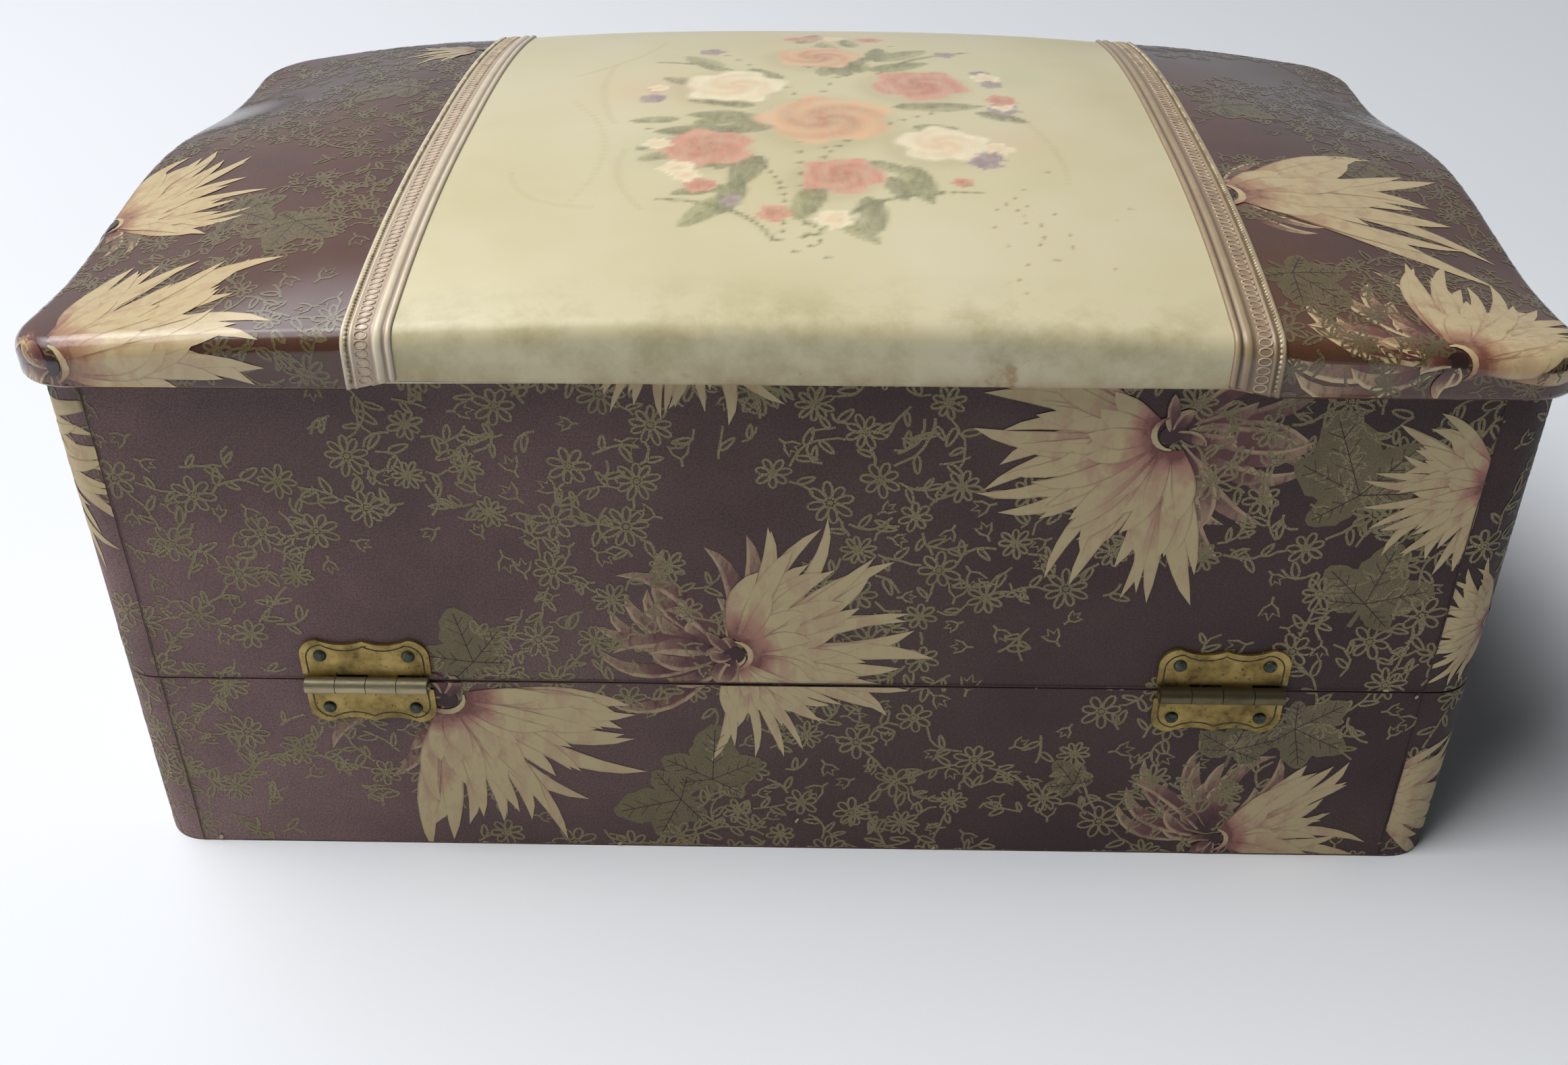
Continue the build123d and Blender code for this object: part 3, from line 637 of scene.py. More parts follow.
# %% The bands' section and sweep
BAND_SECTION = (
    (0.00, 0.10), (0.15, 0.50), (0.45, 0.72), (0.85, 0.60), (1.10, 0.30), (1.45, 0.22),
    (1.70, 0.34), (2.00, 0.62), (2.25, 0.55), (2.45, 0.34), (3.80, 0.40), (5.15, 0.34),
    (5.35, 0.24), (5.80, 0.20), (6.05, 0.34), (6.25, 0.66), (6.55, 0.70), (7.10, 0.66),
    (7.45, 0.44), (7.65, 0.20), (7.90, 0.20), (8.15, 0.46), (8.45, 0.66), (8.90, 0.60),
    (9.18, 0.36), (9.30, 0.05),
)
RING_LINE, BEAD_LINE = 3.80, 1.02
RING_LIFT, BEAD_LIFT = 0.40, 0.44
BAND_STEP = 1.8
SIDE_END = EDGE_Y + ROLL_RUN + SIDE_RUN


def band_finish():
    band = Finish("embossed_band", roughness=0.4, coat_weight=0.5, coat_roughness=0.12)
    spot = band.node("ShaderNodeSeparateXYZ", {0: band.node("ShaderNodeUVMap", uv_map="band").outputs[0]})
    cream, tan, groove, dusk = tone("ddd0b6"), tone("cdbaa5"), tone("948271"), tone("a59381")
    # The grooves and both edges of the section are coloured darker. At the two edges this is a painted shadow line
    # where the band stands over the panels.
    colour = band.ramp(
        spot.outputs["X"],
        (0.00, dusk), (0.05, cream), (0.10, cream), (0.135, groove), (0.175, dusk), (0.215, cream),
        (0.265, tan), (0.55, tan), (0.60, dusk), (0.665, cream), (0.79, cream), (0.825, groove),
        (0.865, groove), (0.91, cream), (0.975, cream), (1.00, dusk),
    )
    wear = band.noise(140.0, 4.0, 0.7)
    colour = band.mix(band.between(wear, 0.40, 0.70, 0.0, 0.35), colour, tone("b09a84"))
    # Darker and browner towards the foot of the band.
    low = band.between(band.axis("Z"), 0.116, 0.122, 0.45, 0.0)
    colour = band.mix(low, colour, tone("a98c72"))
    # Painted shade: a ramp darkens the band towards -X, away from the lamp.
    shaded = band.ramp(
        band.between(band.axis("X"), -0.08, 0.08),
        (0.0, tone("b5a897")), (0.75, tone("f3eeea")), (1.0, tone("ffffff")),
    )
    band.set(base_color=band.mix(1.0, colour, shaded, "MULTIPLY"))
    band.bump(band.noise(900.0, 3.0), 0.2, 0.0002)
    return band.material


def sweep_band(hand, finish):
    """Sweeps the section from rim to rim. Its last ring of points lies on the panels."""
    sign = 1 if hand == "left" else -1
    section = BAND_SECTION if hand == "left" else BAND_SECTION[::-1]
    across = np.array([w for w, _ in section] + [w for w, _ in section[::-1]])
    lift = np.array([h for _, h in section] + [-0.02] * len(section))
    rows = marks((-SIDE_END, -EDGE_Y, ROLL_STEP), (-EDGE_Y, EDGE_Y, BAND_STEP), (EDGE_Y, SIDE_END, ROLL_STEP))
    columns = BAND_OUTER[hand] + sign * across
    q, p = np.meshgrid(rows, columns, indexing="ij")
    points = lid_point(p, q, lift[None, :]).reshape(-1, 3)
    count, ring = len(rows), len(across)
    faces = [
        (j * ring + m, j * ring + (m + 1) % ring, (j + 1) * ring + (m + 1) % ring, (j + 1) * ring + m)
        for j in range(count - 1)
        for m in range(ring)
    ]
    faces += [tuple(range(ring))[::-1], tuple((count - 1) * ring + m for m in range(ring))]
    piece = new_piece(f"{hand}_embossed_band", points, faces, finish)
    uv = piece.data.uv_layers.new(name="band")
    share = np.tile(across / BAND_WIDTH, count)
    corner = np.empty(len(piece.data.loops), dtype=int)
    piece.data.loops.foreach_get("vertex_index", corner)
    uv.data.foreach_set("uv", np.stack([share[corner], np.zeros(len(corner))], -1).ravel())
    return piece


BAND = band_finish()
bands = {hand: sweep_band(hand, BAND) for hand in ("left", "right")}
for hand, piece in bands.items():
    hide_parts(f"{hand}_band")
    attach(piece, "lid")
    print(piece.name, "faces:", len(piece.data.polygons))

# %% [markdown]
# ## Rings and beads by Geometry Nodes
# The chain of rings and the row of beads repeat along a path, which is what Geometry Nodes
# are good at. One tree does both. It resamples the path by length, puts a small shape on
# each point, turns it to stand on the skin, and makes it all real. The path carries the
# skin's direction as an attribute called up.

# %% A tree that sets shapes along a path
def tree_node(tree, kind, sockets=None, **settings):
    made = tree.nodes.new(kind)
    for key, value in settings.items():
        setattr(made, key, value)
    for key, value in (sockets or {}).items():
        if isinstance(value, bpy.types.NodeSocket):
            tree.links.new(value, made.inputs[key])
        else:
            made.inputs[key].default_value = value
    return made


def along_path_tree(name, shape_of):
    """A tree with inputs for spacing, size, width share, wire and finish."""
    tree = bpy.data.node_groups.new(name, "GeometryNodeTree")
    face = tree.interface
    face.new_socket("Path", in_out="INPUT", socket_type="NodeSocketGeometry")
    for label, kind in (
        ("Spacing", "NodeSocketFloat"), ("Size", "NodeSocketFloat"), ("Width share", "NodeSocketFloat"),
        ("Wire", "NodeSocketFloat"), ("Finish", "NodeSocketMaterial"),
    ):
        face.new_socket(label, in_out="INPUT", socket_type=kind)
    face.new_socket("Shapes", in_out="OUTPUT", socket_type="NodeSocketGeometry")
    given = tree_node(tree, "NodeGroupInput").outputs
    curve = tree_node(tree, "GeometryNodeMeshToCurve", {0: given["Path"]})
    dots = tree_node(
        tree, "GeometryNodeCurveToPoints", {"Curve": curve.outputs[0], "Length": given["Spacing"]},
        mode="LENGTH",
    )
    up = tree_node(tree, "GeometryNodeInputNamedAttribute", {"Name": "up"}, data_type="FLOAT_VECTOR")
    stand = tree_node(tree, "FunctionNodeAlignRotationToVector", {"Vector": up.outputs[0]}, axis="Z")
    turn = tree_node(
        tree, "FunctionNodeAlignRotationToVector",
        {"Rotation": stand.outputs[0], "Vector": dots.outputs["Tangent"]}, axis="X", pivot_axis="Z",
    )
    shape = shape_of(tree, given)
    placed = tree_node(
        tree, "GeometryNodeInstanceOnPoints",
        {"Points": dots.outputs["Points"], "Instance": shape, "Rotation": turn.outputs[0]},
    )
    real = tree_node(tree, "GeometryNodeRealizeInstances", {0: placed.outputs[0]})
    coated = tree_node(tree, "GeometryNodeSetMaterial", {0: real.outputs[0], "Material": given["Finish"]})
    tree_node(tree, "NodeGroupOutput", {0: coated.outputs[0]})
    return tree


def ring_shape(tree, given):
    loop = tree_node(tree, "GeometryNodeCurvePrimitiveCircle", {"Resolution": 12, "Radius": given["Size"]})
    scale = tree_node(tree, "ShaderNodeCombineXYZ", {"X": given["Width share"], "Y": 1.0, "Z": 1.0})
    oval = tree_node(tree, "GeometryNodeTransform", {"Geometry": loop.outputs[0], "Scale": scale.outputs[0]})
    wire = tree_node(tree, "GeometryNodeCurvePrimitiveCircle", {"Resolution": 5, "Radius": given["Wire"]})
    return tree_node(tree, "GeometryNodeCurveToMesh", {0: oval.outputs[0], 1: wire.outputs[0]}).outputs[0]


def bead_shape(tree, given):
    ball = tree_node(tree, "GeometryNodeMeshIcoSphere", {"Radius": given["Size"], "Subdivisions": 2})
    scale = tree_node(tree, "ShaderNodeCombineXYZ", {"X": 1.0, "Y": given["Width share"], "Z": 0.8})
    return tree_node(
        tree, "GeometryNodeTransform", {"Geometry": ball.outputs[0], "Scale": scale.outputs[0]}
    ).outputs[0]


# %% Chains of rings and rows of beads
def set_along(name, columns, rows, lift, tree, body, slot, **inputs):
    """Runs a tree on a path over the lid's skin and keeps the result as a plain mesh."""
    points = lid_point(columns, rows, lift)
    up = lid_point(columns, rows, lift + 1.0) - points
    mesh = bpy.data.meshes.new(name + "_line")
    mesh.from_pydata((points * MM).tolist(), [(i, i + 1) for i in range(len(points) - 1)], [])
    mesh.attributes.new("up", "FLOAT_VECTOR", "POINT").data.foreach_set("vector", up.ravel())
    path = bpy.data.objects.new(name + "_path", mesh)
    bpy.context.collection.objects.link(path)
    maker = path.modifiers.new("maker", "NODES")
    maker.node_group = tree
    for item in tree.interface.items_tree:
        if item.in_out == "INPUT" and item.name in inputs:
            maker[item.identifier] = inputs[item.name]
    evaluated = path.evaluated_get(bpy.context.evaluated_depsgraph_get())
    made = bpy.data.meshes.new_from_object(evaluated)
    bpy.data.objects.remove(path)
    piece = bpy.data.objects.new(name, made)
    bpy.context.collection.objects.link(piece)
    made.polygons.foreach_set("use_smooth", [True] * len(made.polygons))
    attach(piece, body)
    print(name, "triangles:", len(made.loop_triangles) or len(made.polygons))
    return piece


def bead_finish(name, colour, dull):
    bead = Finish(name, roughness=0.42, coat_weight=0.4, coat_roughness=0.15)
    bead.set(base_color=bead.ramp(bead.noise(260.0, 4.0, 0.7), (0.38, dull), (0.62, colour)))
    return bead.material


RING_TREE = along_path_tree("rings_along_path", ring_shape)
BEAD_TREE = along_path_tree("beads_along_path", bead_shape)
RING_INK = bead_finish("ring_relief", tone("c4b298"), tone("9c8977"))
BEAD_INK = bead_finish("bead_relief", tone("d5caa4"), tone("8b7f66"))
path_rows = spread(-SIDE_END + 1.2, SIDE_END - 1.2, 0.8)
for hand, sign in (("left", 1), ("right", -1)):
    ring_x = np.full(len(path_rows), BAND_OUTER[hand] + sign * RING_LINE)
    bead_x = np.full(len(path_rows), BAND_OUTER[hand] + sign * BEAD_LINE)
    set_along(
        f"{hand}_band_rings", ring_x, path_rows, RING_LIFT, RING_TREE, "lid", "embossed_band",
        **{"Spacing": 0.00172, "Size": 0.00116, "Width share": 0.66, "Wire": 0.00017, "Finish": RING_INK},
    )
    set_along(
        f"{hand}_band_beads", bead_x, path_rows, BEAD_LIFT, BEAD_TREE, "lid", "embossed_band",
        **{"Spacing": 0.00094, "Size": 0.00036, "Width share": 0.9, "Wire": 0.0, "Finish": BEAD_INK},
    )

# %% [markdown]
# ## Print
# The paper's pattern has three layers: an outline tracery of small flowers, leaves and
# twigs, solid gilt leaves, and large blossoms with pointed petals. Ink has sharp edges far
# finer than any grid of points could hold, so each mark is a thin strip of faces laid a few
# hundredths of a millimetre over its sheet. Marks are drawn flat, cut to the sheet, and
# then bent round the box with it.

# %% A sheet of marks
class Marks:
    """Flat strips of ink, in millimetres: place along, place up, and lift off the sheet."""

    def __init__(self):
        self.points, self.faces, self.inks, self.spots = [], [], [], []
        self.count = self.strips = 0

    def strip(self, path, widths, ink, lift, columns=2, closed=False):
        """A strip of ink along a path, with its place along and across kept for shading.

        Each strip lies a micron or two off the one before, so no two fight for one place.
        """
        path = np.asarray(path, dtype=float)
        steps = len(path)
        if closed:
            way = np.roll(path, -1, 0) - np.roll(path, 1, 0)
        else:
            way = np.gradient(path, axis=0)
        way /= np.maximum(np.linalg.norm(way, axis=1, keepdims=True), 1e-9)
        side = np.stack([-way[:, 1], way[:, 0]], -1)
        reach = np.linspace(-0.5, 0.5, columns)
        widths = np.broadcast_to(np.asarray(widths, float), (steps,))
        flat = path[:, None, :] + side[:, None, :] * (reach[None, :] * widths[:, None])[..., None]
        self.strips += 1
        rise = lift + 0.0011 * (self.strips % 23) + np.linspace(0, 0.002, steps)
        height = np.broadcast_to(rise[:, None, None], (steps, columns, 1))
        self.points.append(np.concatenate([flat, height], -1).reshape(-1, 3))
        along = np.linspace(0, 1, steps)
        self.spots.append(np.stack(np.meshgrid(along, reach + 0.5, indexing="ij"), -1).reshape(-1, 2))
        rows = np.arange(steps if closed else steps - 1)
        nexts = (rows + 1) % steps
        for c in range(columns - 1):
            quad = np.stack(
                [rows * columns + c, nexts * columns + c, nexts * columns + c + 1, rows * columns + c + 1], -1
            )
            self.faces.append(quad + self.count)
            self.inks += [ink] * len(quad)
        self.count += steps * columns


def outline(at, heading, length, width, sharp, turns=10):
    """A closed leaf or petal outline that starts at a place and points along a heading."""
    turn = np.linspace(0, 2 * math.pi, turns, endpoint=False)
    u = length * (1 - np.cos(turn)) / 2
    v = width / 2 * np.sin(turn) * (1 - sharp * (1 - np.cos(turn)) / 2)
    c, s = math.cos(heading), math.sin(heading)
    return np.stack([at[0] + u * c - v * s, at[1] + u * s + v * c], -1)


def toward(at, heading, distance):
    return np.array([at[0] + distance * math.cos(heading), at[1] + distance * math.sin(heading)])


# %% [markdown]
# The tracery is grown from a seed. Small flowers are thrown down so that none comes too
# near another, then twigs with paired leaves run between neighbours, and loose sprigs fill
# the gaps. The seed makes every run the same.

# %% The outline tracery
LINE, TRACERY_LIFT = 0.54, 0.045


def clump(at):
    """Above nought where the tracery grows: drifting clumps with bare ground between."""
    x, y = at
    return 0.70 + math.sin(x / 12 + 1.4 * math.sin(y / 15)) + 0.8 * math.sin(y / 9 - x / 27 + 1)


def small_flower(sheet, rng, at, size):
    petals = int(rng.integers(7, 10))
    begin = rng.uniform(0, 2 * math.pi)
    for k in range(petals):
        heading = begin + 2 * math.pi * k / petals + rng.uniform(-0.08, 0.08)
        length = size * rng.uniform(0.72, 0.95)
        loop = outline(toward(at, heading, size * 0.22), heading, length, size * 4.4 / petals * 0.62, -0.25)
        sheet.strip(loop, LINE * rng.uniform(0.85, 1.1), "gilt", TRACERY_LIFT, closed=True)
    heart = outline(toward(at, begin, -0.35), begin, 0.7, 0.7, 0.0, 6)
    sheet.strip(heart, LINE, "gilt", TRACERY_LIFT, closed=True)


def leaf_outline(sheet, rng, at, heading, size):
    loop = outline(at, heading, size, size * rng.uniform(0.36, 0.5), 0.5)
    sheet.strip(loop, LINE, "gilt", TRACERY_LIFT, closed=True)


def twig(sheet, rng, start, end, bow):
    """A bowed, slightly wavering twig with leaves on alternate sides."""
    start, end = np.asarray(start, float), np.asarray(end, float)
    span = end - start
    length = float(np.hypot(*span))
    side = np.array([-span[1], span[0]]) * bow
    steps = max(5, int(length / 1.3))
    share = np.linspace(0, 1, steps)[:, None]
    wobble = rng.uniform(-0.22, 0.22, (steps, 2))
    path = start + span * share + side * 4 * share * (1 - share) + wobble
    sheet.strip(path, LINE * rng.uniform(0.85, 1.15), "gilt", TRACERY_LIFT)
    place = 1.8
    hand = rng.choice((-1, 1))
    while place < length - 1.5:
        i = min(steps - 2, int(place / length * (steps - 1)))
        way = path[i + 1] - path[i]
        heading = math.atan2(way[1], way[0]) + hand * rng.uniform(0.6, 1.1)
        leaf_outline(sheet, rng, toward(path[i], heading, 0.3), heading, rng.uniform(2.7, 4.2))
        place += rng.uniform(2.4, 4.4)
        hand = -hand


def bud(sheet, at, heading, size):
    """A pointed bud: an outline with three tips on a short stalk."""
    half = [(0.35, 0.42), (0.95, 0.62), (0.72, 0.2)]
    tips = [(0, 0), *half, (1.25, 0), *((u, -v) for u, v in half[::-1])]
    c, s = math.cos(heading), math.sin(heading)
    path = [(at[0] + size * (u * c - v * s), at[1] + size * (u * s + v * c)) for u, v in tips]
    sheet.strip(path, LINE, "gilt", TRACERY_LIFT, closed=True)
    sheet.strip([toward(at, heading, -size * 0.5), at], LINE, "gilt", TRACERY_LIFT)


def scatter(rng, low, high, spacing, tries, taken=()):
    """Places in a rectangle, none nearer than the spacing to another."""
    first = count = len(taken)
    found = np.empty((count + tries, 2))
    if count:
        found[:count] = taken
    for at in rng.uniform(low, high, (tries, 2)):
        if not count or np.min(np.hypot(*(found[:count] - at).T)) > spacing:
            found[count] = at
            count += 1
    return list(found[first:count])


def tracery(sheet, seed, low, high, spacing=10.5, size=3.9):
    """Fills a rectangle with tracery and returns the number of small flowers."""
    rng = np.random.default_rng(seed)
    area = (high[0] - low[0]) * (high[1] - low[1])
    flowers = [at for at in scatter(rng, low, high, spacing, int(area / 6)) if clump(at) > 0]
    for at in flowers:
        small_flower(sheet, rng, at, size * rng.uniform(0.75, 1.15))
    placed = np.array(flowers)
    for i, at in enumerate(flowers):
        away = np.hypot(*(placed - at).T)
        for j in np.argsort(away)[1:5]:
            if j > i and away[j] < spacing * 2.2 and rng.uniform() < 0.75:
                heading = math.atan2(*(placed[j] - at)[::-1])
                start = toward(at, heading, size * 0.95)
                end = toward(placed[j], heading, -size * 0.95)
                twig(sheet, rng, start, end, rng.uniform(-0.32, 0.32))
    for at in scatter(rng, low, high, spacing * 0.52, int(area / 4), flowers):
        heading = rng.uniform(0, 2 * math.pi)
        if clump(at) < rng.uniform(-0.5, 0.2):
            continue
        if rng.uniform() < 0.5:
            bud(sheet, at, heading, rng.uniform(2.2, 3.4))
        else:
            twig(sheet, rng, at, toward(at, heading, rng.uniform(4.5, 9.0)), rng.uniform(-0.3, 0.3))
    return len(flowers)


# %% [markdown]
# A blossom has long ragged cream petals fanned to one side in four rings, and narrow dark
# ones curling away on the other. Each petal is one strip, drawn out to a point. The heart
# is a small dark knot with a cream crescent. A gilt leaf is an ivy leaf of five lobes.

# %% Leaves and blossoms
PETAL_STEPS, PETAL_COLUMNS = 9, 4
CLAW_LIFT, LEAF_LIFT, VEIN_LIFT, PETAL_LIFT = 0.012, 0.04, 0.068, 0.07
# Petals to a radian of fan, and their reach and width as shares of the blossom's size.
PETAL_RINGS = ((5.6, 1.0, 0.118), (6.2, 0.86, 0.115), (6.4, 0.70, 0.125), (5.4, 0.46, 0.14))
CLAWS_TO_RADIAN = 6.5
# Least and greatest reach, and width, as shares of the claws' own reach.
CLAW_LAYERS = ((0.7, 1.0, 0.135), (0.35, 0.6, 0.14))


def petal(sheet, at, heading, length, width, bend, ink, lift):
    """One pointed strip that bends more and more towards its tip."""
    share = np.linspace(0, 1, PETAL_STEPS)
    angle = heading + bend * (1.3 * share**2 - 0.3)
    step = length / (PETAL_STEPS - 1)
    path = np.cumsum(np.stack([np.cos(angle), np.sin(angle)], -1) * step, 0) + np.asarray(at)
    widths = width * (0.5 + 0.5 * np.sin(math.pi / 2 * np.minimum(share / 0.6, 1.0)))
    widths *= np.minimum(1.0, (1 - share) / 0.42) ** 0.62
    sheet.strip(path, np.maximum(widths, 0.05), ink, lift, PETAL_COLUMNS)


def oval(sheet, at, heading, length, width, ink, lift):
    """A filled round spot."""
    share = np.linspace(-0.98, 0.98, 7)
    path = np.stack([toward(at, heading, length / 2 * s) for s in share])
    sheet.strip(path, width * np.sqrt(1 - share**2), ink, lift, 3)


def blossom(sheet, seed, at, size, lean, fan, claw_reach=0.0, claw_lean=0.0, claw_fan=1.0):
    """Cream petals about one heading and dark claws about another, on one heart."""
    rng = np.random.default_rng(seed)
    claws = int(claw_fan * CLAWS_TO_RADIAN) if claw_reach else 0
    for k in range(claws):
        heading = claw_lean + claw_fan * ((k + 0.5) / claws - 0.5) + rng.uniform(-0.12, 0.12)
        bend = rng.uniform(0.3, 1.1) * rng.choice((-1, 1))
        start = toward(at, heading, claw_reach * 0.06)
        for least, most, wide in CLAW_LAYERS:
            length = claw_reach * rng.uniform(least, most)
            petal(
                sheet, start, heading - bend * 0.35, length, claw_reach * wide, bend, "claw", CLAW_LIFT + 0.002 * k
            )
    level = PETAL_LIFT
    for count, reach, wide in PETAL_RINGS:
        number = max(3, int(fan * count))
        for k in rng.permutation(number):
            heading = lean + fan * ((k + 0.5) / number - 0.5) + rng.uniform(-0.10, 0.10)
            level += 0.003
            petal(
                sheet, toward(at, heading, size * 0.06), heading, size * reach * rng.uniform(0.68, 1.0),
                size * wide * rng.uniform(0.7, 1.1), rng.uniform(-0.6, 0.6), "cream", level,
            )
    oval(sheet, at, lean, size * 0.15, size * 0.11, "dark", level + 0.03)
    for k in range(5):
        heading = lean + math.pi + rng.uniform(-1.3, 1.3)
        petal(
            sheet, at, heading, size * rng.uniform(0.12, 0.24), size * 0.07, rng.uniform(-1.5, 1.5), "claw",
            level + 0.03,
        )
    arc = [toward(at, lean + t, size * 0.10) for t in np.linspace(-1.9, 1.0, 9)]
    sheet.strip(arc, size * 0.034 * np.sin(np.linspace(0.25, 2.9, 9)), "cream", level + 0.06)


def gilt_leaf(sheet, seed, at, heading, length):
    rng = np.random.default_rng(seed)
    stalk = [toward(at, heading, -length * 0.4), toward(at, heading, length * 0.1)]
    sheet.strip(stalk, length * 0.07, "leaf", LEAF_LIFT)
    for turn, share in ((-1.9, 0.55), (1.9, 0.55), (-1.0, 0.8), (1.0, 0.8), (0.0, 1.0)):
        way = heading + turn + rng.uniform(-0.18, 0.18)
        reach = length * share * rng.uniform(0.88, 1.1)
        along = np.linspace(0, 1, 11)
        path = np.stack([toward(at, way, reach * s) for s in along])
        scallop = 1 + 0.09 * np.cos(21 * along + seed)
        widths = reach * 0.66 * np.sin(math.pi * (0.05 + 0.92 * along)) ** 0.7 * scallop
        sheet.strip(path, widths, "leaf", LEAF_LIFT, 3)
        sheet.strip(path[:-1], 0.20, "dark", VEIN_LIFT)
        for k in (3, 5, 7):
            for hand in (-1, 1):
                vein = [path[k], toward(path[k], way + hand * 0.8, widths[k] * 0.32)]
                sheet.strip(vein, 0.14, "dark", VEIN_LIFT)


# %% [markdown]
# Marks are cut to their sheet with planes, as with scissors, and bent last. Before that
# they are creased about every millimetre where the sheet will turn sharply, so that they
# follow the turn. The rule of the bend is the lid's skin for the panels. For the walls it is a
# walk round the box: along the front, round the corner, along the end, and back on to the
# rear face.

# %% Cutting and bending a sheet of marks
def wall_point(along, up, lift=0.0):
    """A place on the walls: millimetres round the box from the middle of the front, and up."""
    along, up, lift = np.broadcast_arrays(*(np.asarray(a, dtype=float) for a in (along, up, lift)))
    straight = BODY_X - BODY_CORNER
    quarter = BODY_CORNER * math.pi / 2
    end = 2 * (BODY_Y - BODY_CORNER)
    walk = np.abs(along)
    one = np.clip((walk - straight) / BODY_CORNER, 0, math.pi / 2)
    two = np.clip((walk - straight - quarter - end) / BODY_CORNER, 0, math.pi / 2)
    turn = one + two
    side = np.clip(walk - straight - quarter, 0, end)
    rest = np.maximum(walk - straight - 2 * quarter - end, 0)
    radius = BODY_CORNER + lift
    x = np.minimum(walk, straight) - rest + radius * np.sin(turn)
    y = side - (BODY_Y - BODY_CORNER) - radius * np.cos(turn)
    return np.stack([x * np.sign(along), y, up], -1)


def rear_point(along, up, lift=0.0):
    """A place on the rear face: along runs to the viewer's right, which is -X."""
    along, up, lift = np.broadcast_arrays(*(np.asarray(a, dtype=float) for a in (along, up, lift)))
    return np.stack([-along, BODY_Y + lift, up], -1)


def cut(work, axis, place, drop=0):
    """Cuts the marks along a line. A sign in drop clears the side that it points to."""
    co, no = [0, 0, 0], [0, 0, 0]
    co[axis], no[axis] = place, drop or 1
    everything = work.verts[:] + work.edges[:] + work.faces[:]
    bmesh.ops.bisect_plane(work, geom=everything, plane_co=co, plane_no=no, clear_outer=bool(drop))


def flat_mesh(name, sheet, points, faces, kept, names):
    """The kept faces of a sheet of marks as a flat mesh with its inks and petal map."""
    used, where = np.unique(faces[kept], return_inverse=True)
    mesh = bpy.data.meshes.new(name)
    mesh.from_pydata(points[used].tolist(), [], where.reshape(-1, 4).tolist())
    mesh.polygons.foreach_set("material_index", [names.index(sheet.inks[i]) for i in kept])
    uv = mesh.uv_layers.new(name="petal")
    uv.data.foreach_set("uv", np.concatenate(sheet.spots)[faces[kept].ravel()].ravel())
    return mesh


CREASE_GAP = 4.0


def print_piece(name, sheet, low, high, bend, inks, body, creases=()):
    """Cuts a sheet of marks to a rectangle and bends it on to the box.

    Creases are (axis, rising places). Only marks near a run of creases are creased, because
    each crease takes as long as there are marks.
    """
    points = np.concatenate(sheet.points)
    faces = np.concatenate(sheet.faces)
    least, most = points[faces][..., :2].min(1), points[faces][..., :2].max(1)
    near = np.all((most > low) & (least < high), axis=1)
    turning = np.zeros(len(faces), bool)
    for axis, places in creases:
        for run in np.split(places, np.nonzero(np.diff(places) > CREASE_GAP)[0] + 1):
            turning |= (most[:, axis] > run[0]) & (least[:, axis] < run[-1])
    names = sorted(set(sheet.inks))
    work = bmesh.new()
    work.from_mesh(flat_mesh(name, sheet, points, faces, np.nonzero(near & turning)[0], names))
    for axis, places in creases:
        for place in places:
            cut(work, axis, place)
    mesh = flat_mesh(name, sheet, points, faces, np.nonzero(near & ~turning)[0], names)
    work.from_mesh(mesh)
    for axis in (0, 1):
        cut(work, axis, low[axis], -1)
        cut(work, axis, high[axis], 1)
    flat = np.array([v.co[:] for v in work.verts])
    for vertex, place in zip(work.verts, bend(flat[:, 0], flat[:, 1], flat[:, 2]) * MM):
        vertex.co = place
    work.to_mesh(mesh)
    work.free()
    for key in names:
        mesh.materials.append(inks[key])
    mesh.polygons.foreach_set("use_smooth", np.ones(len(mesh.polygons), bool))
    piece = bpy.data.objects.new(name, mesh)
    bpy.context.collection.objects.link(piece)
    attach(piece, body)
    print(name, "faces:", len(mesh.polygons))
    return piece


# %% [markdown]
# ## The print on the rear face
# The photograph shows this face, so its blossoms and gilt leaves stand where they do there.
# The paper was pasted on in one run over lid and base and then slit at the seam, so one
# drawing is cut twice.

# %% The rear paper
PAPER_TOP = RIM_Z + IVORY_LIFT
REAR_LEFT, REAR_RIGHT = -130.5, 128.5
DRAWN_LOW, DRAWN_HIGH, FOOT = -2, 119, 0.5
SLIT, EDGE_LIFT = 0.35, 0.30

rear = Marks()
print("small flowers at the rear:", tracery(rear, 5, (REAR_LEFT, DRAWN_LOW), (REAR_RIGHT, DRAWN_HIGH)))
for spec in (
    (21, (69.5, 106), 35, 3.75, 2.5, 27, -0.4, 2.2),
    (22, (-12, 53.5), 36, 0.45, 1.9, 28, 2.45, 1.9),
    (23, (-20, 133), 25, -1.57, 2.1),
    (24, (-72, 42), 41, -0.87, 1.85, 27, 3.75, 0.9),
    (25, (91.5, 4.5), 31, 0.3, 1.4, 26, 1.75, 1.9),
    (26, (131, 96), 22, 3.5, 2.6, 16, 1.5, 1.2),
    (27, (-12, 53.5), 25, -1.05, 1.4),
):
    blossom(rear, *spec)
for seed, at, heading, length in (
    (31, (106, 93), 1.8, 20), (32, (112, 68), 1.2, 15), (33, (-65, 51), 1.9, 14), (34, (-17, 20), 1.5, 14),
    (35, (-24, 14), 3.3, 14), (36, (104, 36), -0.4, 14), (37, (92, 30), 1.4, 12), (38, (60, 20), 2.2, 8),
):
    gilt_leaf(rear, seed, at, heading, length)
rng = np.random.default_rng(9)
# Painted shadow: a thin dark line runs down each joint where the rear paper meets the paper coming round the
# corners, though the papers lie flush there.
for edge in (REAR_LEFT + 0.15, REAR_RIGHT - 0.15):
    line = [(edge + 0.12 * rng.uniform(-1, 1), z) for z in spread(0, 118, 3)]
    rear.strip(line, 0.26, "dark", EDGE_LIFT)
